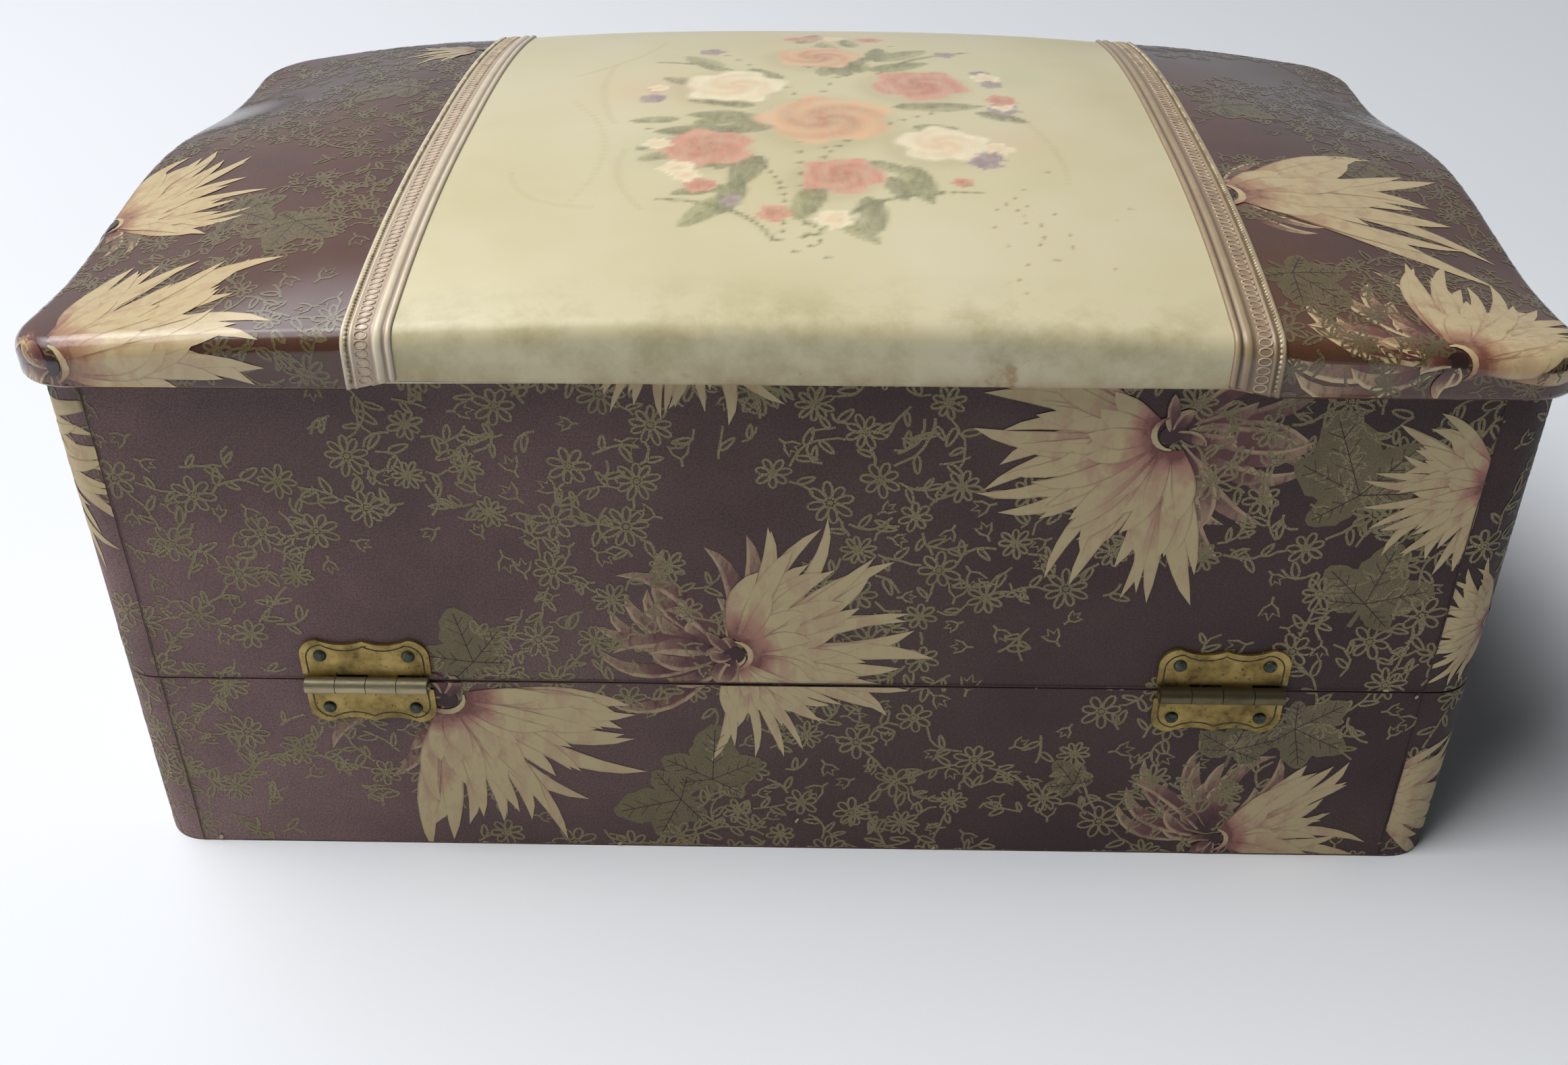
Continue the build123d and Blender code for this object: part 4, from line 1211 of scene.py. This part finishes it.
# Painted shadow: a dark strip just above the seam, widest in the middle, stands for the shadow under the lid's
# lower edge.
SEAM_SHADOW_STEPS = 60
share = np.linspace(0, 1, SEAM_SHADOW_STEPS)[:, None]
seam_shadow = np.array([REAR_LEFT, SEAM_Z + 0.42]) + share * np.array([REAR_RIGHT - REAR_LEFT, 0.0])
seam_shadow_width = 0.16 + 0.30 * np.sin(math.pi * share[:, 0]) * (1 + 0.3 * rng.uniform(-1, 1, SEAM_SHADOW_STEPS))
rear.strip(seam_shadow, seam_shadow_width, "dark", EDGE_LIFT)
for at in ((-118, 46), (-126.5, 1.2), (127, 45), (1, 8.5), (31, 0.6), (120.5, 46.5), (-38, 0.8)):
    oval(rear, at, rng.uniform(0, 3), rng.uniform(0.8, 2.2), rng.uniform(0.5, 0.9), "chip", EDGE_LIFT + 0.01)
for body, low_z, high_z in (("base", FOOT, SEAM_Z - SLIT), ("lid", SEAM_Z + SLIT, PAPER_TOP)):
    print_piece(
        f"{body}_rear_print", rear, (REAR_LEFT, low_z), (REAR_RIGHT, high_z), rear_point, INKS, body,
    )

# %% [markdown]
# ## The print round the front and ends
# Nobody photographed these sides, so the same paper is carried on round them: the same
# tracery, with blossoms spaced out as on the rear face. The last millimetres come round the
# rear corners, where the photograph shows them.

# %% The wrap paper
WRAP_RIGHT = 2 * BODY_X + 2 * BODY_Y - 4 * BODY_CORNER + BODY_CORNER * math.pi - (BODY_X - BODY_CORNER)
WRAP_LEFT = -(WRAP_RIGHT + 2.0)

wrap = Marks()
number = tracery(wrap, 6, (WRAP_LEFT, DRAWN_LOW), (WRAP_RIGHT, DRAWN_HIGH), spacing=12.0)
print("small flowers on the wrap:", number)
for spec in (
    (41, (-86, 88), 36, 2.8, 2.4, 29, -0.3, 2.0), (42, (6, 62), 38, -2.6, 2.2, 30, 0.6, 2.0),
    (43, (98, 84), 36, -0.6, 2.3, 28, 2.5, 2.0), (44, (-40, 8), 30, 1.4, 1.8, 24, 3.0, 1.6),
    (45, (60, 14), 30, 2.2, 1.8, 24, 0.4, 1.6), (46, (178, 60), 38, 2.9, 2.2, 30, -0.2, 2.0),
    (47, (236, 86), 34, -0.5, 2.2, 26, 2.6, 1.8), (48, (232, 12), 28, 1.2, 1.8, 24, 2.9, 1.4),
    (49, (-176, 56), 38, 0.3, 2.3, 30, 3.4, 2.0), (50, (-246, 84), 34, 3.4, 2.2, 28, 0.4, 1.9),
    (51, (-236, 12), 28, 1.8, 1.8, 22, 0.2, 1.5), (52, (-299, 62), 17, 3.14, 2.4, 12, 0.2, 1.6),
    (53, (-317, 17), 25, 0.0, 1.7), (54, (282, 99), 30, -0.05, 1.9, 18, 2.8, 1.6),
    (55, (288, 22), 22, 2.6, 2.0),
):
    blossom(wrap, *spec)
for k in range(16):
    place = WRAP_LEFT + 18 + k * 39.0
    gilt_leaf(wrap, 60 + k, (place, 20 + 37 * (k % 3)), 0.7 + 1.9 * k, 11 + 3 * (k % 2))
UNDER_RIM = 0.2
TURN_START, TURN_END = BODY_X - BODY_CORNER, BODY_X - BODY_CORNER + BODY_CORNER * math.pi / 2
FAR_TURN = 2 * (BODY_Y - BODY_CORNER) + BODY_CORNER * math.pi / 2
front_turn = spread(TURN_START, TURN_END, 1.0)
corner_walk = np.concatenate([front_turn, front_turn + FAR_TURN])
WRAP_CREASES = ((0, np.sort(np.concatenate([-corner_walk, corner_walk]))),)
for body, low_z, high_z in (("base", FOOT, SEAM_Z - SLIT), ("lid", SEAM_Z + SLIT, RIM_Z - UNDER_RIM)):
    print_piece(
        f"{body}_wrap_print", wrap, (WRAP_LEFT, low_z), (WRAP_RIGHT, high_z), wall_point, INKS, body,
        WRAP_CREASES,
    )

# %% [markdown]
# ## The print under the dark celluloid
# The end panels carry the same paper under clear sheet. Seen through it the tracery is dim
# and the petals are warm and bright, and all of it shares the sheet's gloss, so these inks
# get a coat as well.

# %% The end panels' print
GLOSSED = {
    "gilt": gilt_finish("glossed_gilt", tone("6a5d3c"), tone("4a3428"), 0.50, 0.5, 1.0),
    "leaf": gilt_finish("glossed_leaf", tone("62562f"), tone("4a3626"), 0.48, 0.5, 1.0),
    "cream": petal_finish(
        "glossed_cream", ((0.08, tone("74483a")), (0.26, tone("a5805f")), (0.48, tone("bfab82"))),
        tone("6f4232"), coat=1.0,
    ),
    "claw": petal_finish(
        "glossed_claw", ((0.10, tone("402320")), (0.45, tone("63392f")), (0.92, tone("b0946e"))),
        tone("c3ac84"), one_side=True, coat=1.0,
    ),
    "dark": gilt_finish("glossed_dark", tone("2f1b18"), tone("3b2420"), 0.62, 0.5, 1.0),
}
END_EDGE_X = EDGE_X + ROLL_RUN + SIDE_RUN
END_EDGE_Y = EDGE_Y + ROLL_RUN + SIDE_RUN
for hand, seed, blossoms, leaves in (
    ("right", 7, (
        (71, (134, 90), 42, 3.6, 2.0, 22, 0.9, 2.6), (72, (142, 33), 30, 3.6, 2.0, 18, 1.2, 1.5),
        (73, (82, -66), 18, 0.2, 1.7), (74, (126, -99), 24, -1.9, 2.2),
    ), ((75, (98, 46), 1.2, 13), (76, (112, 38), 2.6, 11), (77, (92, -30), 0.6, 13))),
    ("left", 8, (
        (81, (-116, 88), 35, 4.0, 1.7, 28, 5.5, 1.7), (82, (-84, 34), 48, 3.3, 1.2, 20, 3.4, 1.9),
        (83, (-140, -97), 22, -1.4, 2.0), (84, (-100, -101), 20, -1.2, 1.9),
    ), ((85, (-92, 64), 2.4, 13), (86, (-122, 8), 1.0, 12), (87, (-96, -20), 2.6, 13))),
):
    sheet = Marks()
    near, far = sorted((BAND_OUTER[hand], math.copysign(END_EDGE_X, BAND_OUTER[hand])))
    tracery(sheet, seed, (near, -END_EDGE_Y), (far, END_EDGE_Y), spacing=8.5, size=3.2)
    for spec in blossoms:
        blossom(sheet, *spec)
    for spec in leaves:
        gilt_leaf(sheet, *spec)
    roll_x = spread(EDGE_X - 1, END_EDGE_X, ROLL_STEP) * (1 if hand == "right" else -1)
    roll_y = spread(EDGE_Y - 1, END_EDGE_Y, ROLL_STEP)
    print_piece(
        f"{hand}_panel_print", sheet, (near, -END_EDGE_Y), (far, END_EDGE_Y), lid_point, GLOSSED, "lid",
        ((0, np.sort(roll_x)), (1, np.sort(np.concatenate([-roll_y, roll_y])))),
    )

# %% [markdown]
# ## Brass and tarnish
# The hinge leaves, pins and catch are CAD pieces and keep their shape. They need an old
# metal's skin: olive-gold brass with dark spots and a duller barrel. A bright line along
# the barrel's crest is partly rubbed brass and partly a painted highlight, strongest on the
# hinge at +X, nearer the lamp. The nails and pins are nearly black with tarnish.

# %% Metal finishes
def brass_finish():
    """Old brass. The hinge barrels stand out past Y = 0.0843, with their crest at 0.0867."""
    brass = Finish("aged_brass", roughness=0.42, metallic=0.85)
    cloud = brass.noise(210.0, 4.0, 0.65)
    colour = brass.ramp(cloud, (0.33, tone("6f5c35")), (0.5, tone("917c48")), (0.68, tone("a68f57")))
    spots = brass.between(brass.noise(900.0, 4.0, 0.75), 0.60, 0.68)
    colour = brass.mix(spots, colour, tone("3f382b"))
    behind = brass.axis("Y")
    barrel = brass.between(behind, 0.0843, 0.0848)
    # The barrel is duller and darker than the leaf, and lighter towards +X.
    dull = brass.mix(brass.between(brass.axis("X"), 0.0, 0.08), tone("5a5342"), tone("a59b7f"))
    colour = brass.mix(brass.math("MULTIPLY", barrel, 0.85), colour, dull)
    # Painted highlight: a bright line along the barrel's crest, where it stands out furthest. It is partly rubbed
    # brass and partly painted highlight, and it is strongest towards +X, nearer the lamp.
    crest = brass.math("ABSOLUTE", brass.math("SUBTRACT", brass.axis("Z"), 0.0467))
    outermost = brass.between(behind, 0.0862, 0.0867)
    rub = brass.math("MULTIPLY", brass.between(crest, 0.0001, 0.0006, 1.0, 0.0), outermost)
    rub = brass.math("MULTIPLY", rub, brass.between(brass.axis("X"), 0.0, 0.08, 0.15, 0.7))
    rub = brass.math("MULTIPLY", rub, brass.between(brass.noise(240.0, 3.0), 0.40, 0.58, 0.0, 0.6))
    brass.set(base_color=brass.mix(rub, colour, tone("b8ad82")))
    brass.set(roughness=brass.between(cloud, 0.3, 0.7, 0.55, 0.34))
    brass.bump(brass.noise(1300.0, 3.0), 0.25, 0.0002)
    return brass.material


def tarnish_finish():
    tarnish = Finish("tarnished_pins", roughness=0.5, metallic=0.7)
    tarnish.set(base_color=tarnish.ramp(
        tarnish.noise(900.0, 3.0), (0.35, tone("2e332c")), (0.6, tone("4a4f44")), (0.75, tone("6f6f5c"))
    ))
    tarnish.bump(tarnish.noise(1500.0, 2.0), 0.3, 0.0002)
    return tarnish.material


BRASS, TARNISH = brass_finish(), tarnish_finish()

# %% [markdown]
# ## Wood, satin and card
# The boards show only at the seam and when the lid is up. The satin is old gold: it has a
# soft sheen, a fine weave and faded patches.

# %% Wood and satin finishes
def pine_finish():
    pine = Finish("pine_board", roughness=0.7)
    grain = pine.noise(1.0, 5.0, 0.7, pine.stretched(45.0, 700.0, 700.0))
    colour = pine.ramp(grain, (0.35, tone("8c6740")), (0.55, tone("b48d5d")), (0.72, tone("c9a675")))
    pine.set(base_color=colour)
    pine.bump(grain, 0.3, 0.0003)
    return pine.material


def satin_finish():
    satin = Finish("satin_lining", roughness=0.38, sheen_weight=0.5, sheen_roughness=0.4)
    weave = satin.node(
        "ShaderNodeTexWave", {"Vector": satin.place, "Scale": 700.0, "Distortion": 1.5, "Detail": 2.0},
        wave_type="BANDS", bands_direction="Z",
    ).outputs["Fac"]
    cross = satin.node(
        "ShaderNodeTexWave", {"Vector": satin.place, "Scale": 500.0, "Distortion": 1.0},
        wave_type="BANDS", bands_direction="X",
    ).outputs["Fac"]
    fade = satin.noise(20.0, 4.0, 0.65)
    colour = satin.ramp(fade, (0.32, tone("a5805a")), (0.52, tone("c39f72")), (0.72, tone("d3b68a")))
    stain = satin.between(satin.noise(60.0, 5.0, 0.7), 0.62, 0.74, 0.0, 0.3)
    satin.set(base_color=satin.mix(stain, colour, tone("7f5f40")))
    satin.bump(satin.math("ADD", weave, satin.math("MULTIPLY", cross, 0.5)), 0.2, 0.00008)
    return satin.material


def cotton_finish():
    cotton = Finish("cotton_wadding", roughness=0.95, sheen_weight=0.4)
    tuft = cotton.noise(600.0, 5.0, 0.75)
    cotton.set(base_color=cotton.ramp(tuft, (0.3, tone("b3a88f")), (0.7, tone("ddd5c2"))))
    cotton.bump(tuft, 0.6, 0.0006)
    return cotton.material


def bottom_finish():
    bottom = Finish("bottom_paper", roughness=0.8)
    rub = bottom.between(bottom.noise(70.0, 5.0, 0.7), 0.48, 0.66, 0.0, 0.8)
    bottom.set(base_color=bottom.mix(rub, tone("4f3c3a"), tone("80695a")))
    bottom.bump(bottom.noise(1500.0, 3.0), 0.25, 0.0002)
    return bottom.material


SATIN, BOTTOM = satin_finish(), bottom_finish()
FINISH_OF = {
    "printed_paper": PAPER, "pine_board": pine_finish(), "aged_brass": BRASS, "tarnished_pins": TARNISH,
    "satin_lining": SATIN, "satin_pad": SATIN, "cotton_wadding": cotton_finish(),
}
dressed = 0
for part in frame["record"]["subparts"]:
    solid = frame["nodes"][part["node"]]
    if part["material_slot"] in FINISH_OF:
        solid.data.materials.clear()
        solid.data.materials.append(FINISH_OF[part["material_slot"]])
        dressed += 1
floor_paper = frame["nodes"]["base_bottom_paper"]
floor_paper.data.materials[0] = BOTTOM
print("CAD nodes given a finish:", dressed)

# %% [markdown]
# ## The hinges' engraved lines
# Each leaf has a fine line cut a little inside its edge. It is drawn as a dark strip that
# follows the leaf's own outline, drawn in by its margin.

# %% Engraved lines
HINGE_X = 87.0
LEAF_HALF, LEAF_HEIGHT, LEAF_CORNER, SCOOP, LEAF_FACE = 13.2, 10.6, 4.0, 1.2, 0.7
LEAF_FOOT, MARGIN, CUT_WIDTH = 2.2, 1.25, 0.34


def leaf_edge(side, margin):
    """The sides, round corners and two scoops of a leaf, drawn in by a margin."""
    half, top = LEAF_HALF - margin, LEAF_HEIGHT - margin
    corner = LEAF_CORNER - margin * 0.4
    right = [(half, LEAF_FOOT), (half, top - corner)]
    crest = half - corner
    for t in spread(0.1, 1.5, 0.2):
        right.append((crest + corner * math.cos(t), top - corner + corner * math.sin(t)))
    for t in spread(0.0, 1.0, 0.09):
        right.append((crest * (1 - t), top - SCOOP * math.sin(math.pi * t) ** 0.8 - 0.3 * t))
    left = [(-x, z) for x, z in right[::-1]]
    return [(x, side * z) for x, z in right + left[1:]]


engraving = Finish("engraved_line", roughness=0.6, metallic=0.4)
engraving.set(base_color=engraving.ramp(
    engraving.noise(700.0, 3.0), (0.4, tone("2b261d")), (0.7, tone("5a5038"))
))
for hand, hinge_x in (("left", -HINGE_X), ("right", HINGE_X)):
    for level, side, body in (("upper", 1, "lid"), ("lower", -1, "base")):
        line = Marks()
        path = np.array(leaf_edge(side, MARGIN))[:: -side]
        line.strip(path, CUT_WIDTH, "line", LEAF_FACE + 0.015)
        flat = np.concatenate(line.points)
        placed = rear_point(flat[:, 0] - hinge_x, flat[:, 1] + SEAM_Z, flat[:, 2])
        faces = np.concatenate(line.faces).tolist()
        piece = new_piece(f"{hand}_{level}_leaf_line", placed, faces, engraving.material, smooth=False)
        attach(piece, body)
print("engraved lines: 4")

# %% [markdown]
# ## The padding under the celluloid
# Cotton fills the lid between the top board and the sheet. It is closed in on every side,
# so a simple skin drawn in from the celluloid stands for it.

# %% The wadding
SHORTER, UNDER_SHEET, ROUND_STEP, PLAIN_STEP = 4.2, 1.0, 2.0, 6.0
cotton_x, cotton_y = SHEET_X - SHORTER, SHEET_Y - SHORTER
cotton_columns, cotton_rows = (
    marks((-end, -edge, ROUND_STEP), (-edge, edge, PLAIN_STEP), (edge, end, ROUND_STEP))
    for end, edge in ((cotton_x, EDGE_X), (cotton_y, EDGE_Y))
)
wadding = skin("wadding", cotton_columns, cotton_rows, -UNDER_SHEET, FINISH_OF["cotton_wadding"])[0]
cap = bmesh.new()
cap.from_mesh(wadding.data)
bmesh.ops.holes_fill(cap, edges=[e for e in cap.edges if e.is_boundary])
cap.to_mesh(wadding.data)
cap.free()
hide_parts("lid_wadding")
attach(wadding, "lid")

# %% [markdown]
# ## Satin linings
# Satin is stretched over card and glued, with its edge turned over the card's top. Each
# lining is one sheet: up the wall, over the card and a little way down behind it. Faint
# draws in the cloth run up the wall where it was pulled tight.

# %% The eight linings
INNER_X, INNER_Y, LINING_DEPTH, TURN = 133.6, 77.1, 1.0, 4.0
BASE_LOW, BASE_HIGH, LID_LOW, LID_HIGH = 4.4, 45.8, 46.2, 115.0


def lining(body, side, low, high):
    """A sheet over one wall. The open edge of the base is its top and of the lid its foot."""
    rng = np.random.default_rng(len(side) + int(low))
    along_x = side in ("front", "back")
    sign = 1 if side in ("back", "right") else -1
    half = (INNER_X if along_x else INNER_Y - LINING_DEPTH) - 0.15
    wall = INNER_Y if along_x else INNER_X
    open_edge, shut_edge = (high, low) if body == "base" else (low, high)
    inward = np.sign(open_edge - shut_edge)
    radius = LINING_DEPTH / 2
    rows = [(LINING_DEPTH, shut_edge + inward * 0.3)]
    rows += [(LINING_DEPTH, z) for z in spread(shut_edge + inward * 2, open_edge - inward * radius, 3.0)]
    for turn in spread(0.3, math.pi, 0.4):
        rows.append((radius + radius * math.cos(turn), open_edge + inward * radius * (math.sin(turn) - 1)))
    rows.append((0.05, open_edge - inward * TURN))
    places = spread(-half, half, 2.2)
    draws = np.interp(places, spread(-half, half, 11.0), rng.uniform(-1, 1, len(spread(-half, half, 11.0))))
    points = []
    for place, draw in zip(places, draws):
        for depth, z in rows:
            height = abs(z - shut_edge) / abs(open_edge - shut_edge)
            swell = 0.28 * draw * math.sin(math.pi * min(height, 1.0)) if depth == LINING_DEPTH else 0.0
            across = sign * (wall - max(depth, 0.05) - max(swell, -0.2))
            points.append((place, across, z) if along_x else (across, place, z))
    faces = grid_faces(len(places), len(rows))
    piece = new_piece(f"{body}_{side}_satin", points, faces, SATIN)
    work = bmesh.new()
    work.from_mesh(piece.data)
    middle = Vector((0, 0, (low + high) / 2 * MM))
    for face in work.faces:
        toward_middle = middle - face.calc_center_median()
        axis = 1 if along_x else 0
        if abs(face.normal[axis]) > 0.7 and face.index < len(rows) // 2:
            if face.normal[axis] * toward_middle[axis] < 0:
                bmesh.ops.reverse_faces(work, faces=work.faces[:])
            break
    work.to_mesh(piece.data)
    work.free()
    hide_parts(f"{body}_{side}_lining")
    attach(piece, body)
    length = sum(math.dist(a, b) for a, b in zip(rows, rows[1:]))
    return 2 * half, length


for body, low, high in (("base", BASE_LOW, BASE_HIGH), ("lid", LID_LOW, LID_HIGH)):
    for side in ("front", "back", "left", "right"):
        width, length = lining(body, side, low, high)
        print(body, side, "lining, flat mm:", round(width, 1), "x", round(length, 1))

# %% [markdown]
# ## Padded floor and ceiling
# Both pads are satin over wadding on card. A slightly smaller slab is remeshed and blown up
# by a cloth simulation with pressure, which rounds its edges and draws small puckers. The
# card side stays flat, because its points are put back on it afterwards.

# %% The two pads
PAD_X, PAD_Y, PAD_INSET = 132.3, 75.8, 1.6
EDGE_SHARE = 0.42
VOXEL, MOST_SWELL = 0.004, 0.0016
CLOTH_STEPS = 20


def pad_slab(name, thickness):
    """A closed slab with a crowned top, its card side on Z = 0."""
    nx, ny = 44, 26
    points, faces = [], []
    half_x, half_y = PAD_X - PAD_INSET, PAD_Y - PAD_INSET
    for top in (0, 1):
        for i in range(nx + 1):
            for j in range(ny + 1):
                u, v = 2 * i / nx - 1, 2 * j / ny - 1
                crown = (1 - u**4) * (1 - v**4)
                height = (EDGE_SHARE + (1 - EDGE_SHARE) * crown) * thickness if top else 0.0
                points.append((u * half_x, v * half_y, height))
    size = (nx + 1) * (ny + 1)
    for i in range(nx):
        for j in range(ny):
            a = i * (ny + 1) + j
            b = a + ny + 1
            c, d = b + 1, a + 1
            faces.append((a, d, c, b))
            faces.append((a + size, b + size, c + size, d + size))
    rim = [(i, 0) for i in range(nx)] + [(nx, j) for j in range(ny)]
    rim += [(i, ny) for i in range(nx, 0, -1)] + [(0, j) for j in range(ny, 0, -1)]
    ids = [i * (ny + 1) + j for i, j in rim]
    for a, b in zip(ids, ids[1:] + ids[:1]):
        faces.append((a, b, b + size, a + size))
    return new_piece(name, points, faces, SATIN)


def made_mesh(piece):
    """The mesh of a piece with its modifiers applied."""
    return bpy.data.meshes.new_from_object(piece.evaluated_get(bpy.context.evaluated_depsgraph_get()))


def inflate(piece):
    """Blows a slab up with cloth pressure, and lets no point move further than MOST_SWELL."""
    scene = bpy.context.scene
    remesh = piece.modifiers.new("remesh", "REMESH")
    remesh.mode = "VOXEL"
    remesh.voxel_size = VOXEL
    start = made_mesh(piece)
    piece.modifiers.clear()
    piece.data = start
    rest = np.array([v.co[:] for v in start.vertices])
    cloth = piece.modifiers.new("cloth", "CLOTH")
    cloth.settings.use_pressure = True
    cloth.settings.uniform_pressure_force = 4.0
    cloth.settings.effector_weights.gravity = 0.0
    cloth.settings.quality = 5
    for step in range(1, CLOTH_STEPS + 1):
        scene.frame_set(step)
    grown = made_mesh(piece)
    moved = np.array([v.co[:] for v in grown.vertices]) - rest
    scene.frame_set(1)
    piece.modifiers.clear()
    reach = np.linalg.norm(moved, axis=1, keepdims=True)
    rest = rest + moved * np.minimum(1.0, MOST_SWELL / np.maximum(reach, 1e-9))
    print(piece.name, "mean swell in mm:", round(float(reach.mean()) * 1000, 2))
    return rest


for name, node, body, card_z, facing, thickness in (
    ("floor_pad", "base_floor_pad", "base", BASE_LOW, 1, 9.2),
    ("ceiling_pad", "lid_ceiling_pad", "lid", LID_HIGH, -1, 10.0),
):
    pad = pad_slab(name, thickness)
    places = inflate(pad)
    places[:, 2] = np.maximum(places[:, 2], 0.0)
    places[:, 0] = np.clip(places[:, 0], -PAD_X * MM, PAD_X * MM)
    places[:, 1] = np.clip(places[:, 1], -PAD_Y * MM, PAD_Y * MM)
    if facing < 0:
        places[:, 1:] *= -1
    places[:, 2] += card_z * MM
    pad.data.vertices.foreach_set("co", places.ravel())
    pad.data.materials.clear()
    pad.data.materials.append(SATIN)
    pad.data.polygons.foreach_set("use_smooth", [True] * len(pad.data.polygons))
    soften = pad.modifiers.new("soften", "SUBSURF")
    soften.levels = soften.render_levels = 1
    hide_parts(node)
    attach(pad, body)
    print(name, "faces:", len(pad.data.polygons))

# %% [markdown]
# ## Floor, light and background
# The box stands on a pale sheet. A soft lamp hangs high to the viewer's left, above the
# camera, so that the shadow falls to the right. A wider one, further off on the far side,
# keeps the front and the lid open. The background's brightness is seen by the camera and
# by reflections only, so it doesn't wash the box out.

# %% The floor
floor_sheet = Finish("pale_floor", roughness=0.7, specular_ior_level=0.2)
floor_sheet.set(base_color=tone("e6e9ee"), emission_color=tone("e6e9ee"))
away = floor_sheet.math("SQRT", floor_sheet.math("ADD", *(
    floor_sheet.math("POWER", floor_sheet.math("ABSOLUTE", floor_sheet.axis(axis)), 2.0) for axis in "XY"
)))
direct = floor_sheet.node("ShaderNodeLightPath").outputs["Is Camera Ray"]
far_glow = floor_sheet.between(away, 0.4, 2.4, 0.0, 0.4)
floor_sheet.set(emission_strength=floor_sheet.math("MULTIPLY", direct, far_glow))
floor_mesh = bpy.data.meshes.new("floor")
FLOOR_REACH = 4.0
corners = [(x * FLOOR_REACH, y * FLOOR_REACH, 0) for x, y in ((-1, -1), (1, -1), (1, 1), (-1, 1))]
floor_mesh.from_pydata(corners, [], [(0, 1, 2, 3)])
floor_mesh.materials.append(floor_sheet.material)
floor_object = bpy.data.objects.new("floor", floor_mesh)
bpy.context.collection.objects.link(floor_object)
floor_object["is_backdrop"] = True


# %% The lamps
def soft_lamp(name, place, aim, size, power, colour):
    """A lamp that lights the box. Its mirror image is left to the sky, which has soft edges."""
    data = bpy.data.lights.new(name, "AREA")
    data.shape = "RECTANGLE"
    data.size, data.size_y = size
    data.energy = power
    data.color = colour
    lamp = bpy.data.objects.new(name, data)
    bpy.context.collection.objects.link(lamp)
    lamp.location = place
    lamp.rotation_euler = (Vector(aim) - Vector(place)).to_track_quat("-Z", "Y").to_euler()
    lamp.visible_glossy = False


soft_lamp(
    "window", place=(0.62, 0.36, 1.35), aim=(0.0, 0.0, 0.06), size=(0.8, 0.8), power=18.5,
    colour=(1.0, 0.99, 0.975),
)
soft_lamp(
    "overhead", place=(1.05, -0.50, 1.65), aim=(0.0, -0.1, 0.0), size=(1.5, 1.2), power=21.0,
    colour=(0.97, 0.985, 1.0),
)

# %% The background
DIFFUSE_SKY, SEEN_SKY = 0.06, 0.5
# Each part of the mirrored sky: where it stands, how near it begins and is full, and how bright.
WIDE_GLOW = ((0.6, -0.8, 0.2), (-0.7, 0.9), (0.10, 0.42))
PANES = (
    ((0.50, -0.08, 0.86), (0.87, 0.965), (0.0, 3.8)),
    ((0.47, -0.46, 0.75), (0.935, 0.985), (0.0, 3.4)),
)
world = bpy.data.worlds.new("room")
bpy.context.scene.world = world
world.use_nodes = True
sky = world.node_tree
background = sky.nodes["Background"]
background.inputs["Color"].default_value = tone("e6ebf2")
way = sky.nodes.new("ShaderNodeTexCoord").outputs["Generated"]
rays = sky.nodes.new("ShaderNodeLightPath").outputs


def sky_node(kind, sockets, **settings):
    node = sky.nodes.new(kind)
    for key, value in settings.items():
        setattr(node, key, value)
    for key, value in sockets.items():
        if isinstance(value, bpy.types.NodeSocket):
            sky.links.new(value, node.inputs[key])
        else:
            node.inputs[key].default_value = value
    return node.outputs


def glow(heading, edges, strengths):
    """A brightness that rises towards one part of the sky, with soft edges."""
    toward_it = Vector(heading).normalized()
    near = sky_node("ShaderNodeVectorMath", {0: way, 1: toward_it}, operation="DOT_PRODUCT")
    limits = {"From Min": edges[0], "From Max": edges[1], "To Min": strengths[0], "To Max": strengths[1]}
    return sky_node(
        "ShaderNodeMapRange", {"Value": near["Value"], **limits}, interpolation_type="SMOOTHSTEP"
    )[0]


seen = rays["Is Camera Ray"]
for kind in ("Is Transmission Ray", "Is Glossy Ray"):
    seen = sky_node("ShaderNodeMath", {0: seen, 1: rays[kind]}, operation="MAXIMUM")[0]
mirrored = glow(*WIDE_GLOW)
for pane in PANES:
    mirrored = sky_node("ShaderNodeMath", {0: mirrored, 1: glow(*pane)})[0]
with_camera = {0: rays["Is Camera Ray"], 1: SEEN_SKY, 2: mirrored}
mirrored = sky_node("ShaderNodeMath", with_camera, operation="MULTIPLY_ADD")[0]
strength = sky_node("ShaderNodeMapRange", {"Value": seen, "To Min": DIFFUSE_SKY, "To Max": mirrored})[0]
sky.links.new(strength, background.inputs["Strength"])

# %% Sizes before and after dressing
dressed_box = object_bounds()
for corner in (*cad_box, *dressed_box):
    print([round(c * 1000, 1) for c in corner])
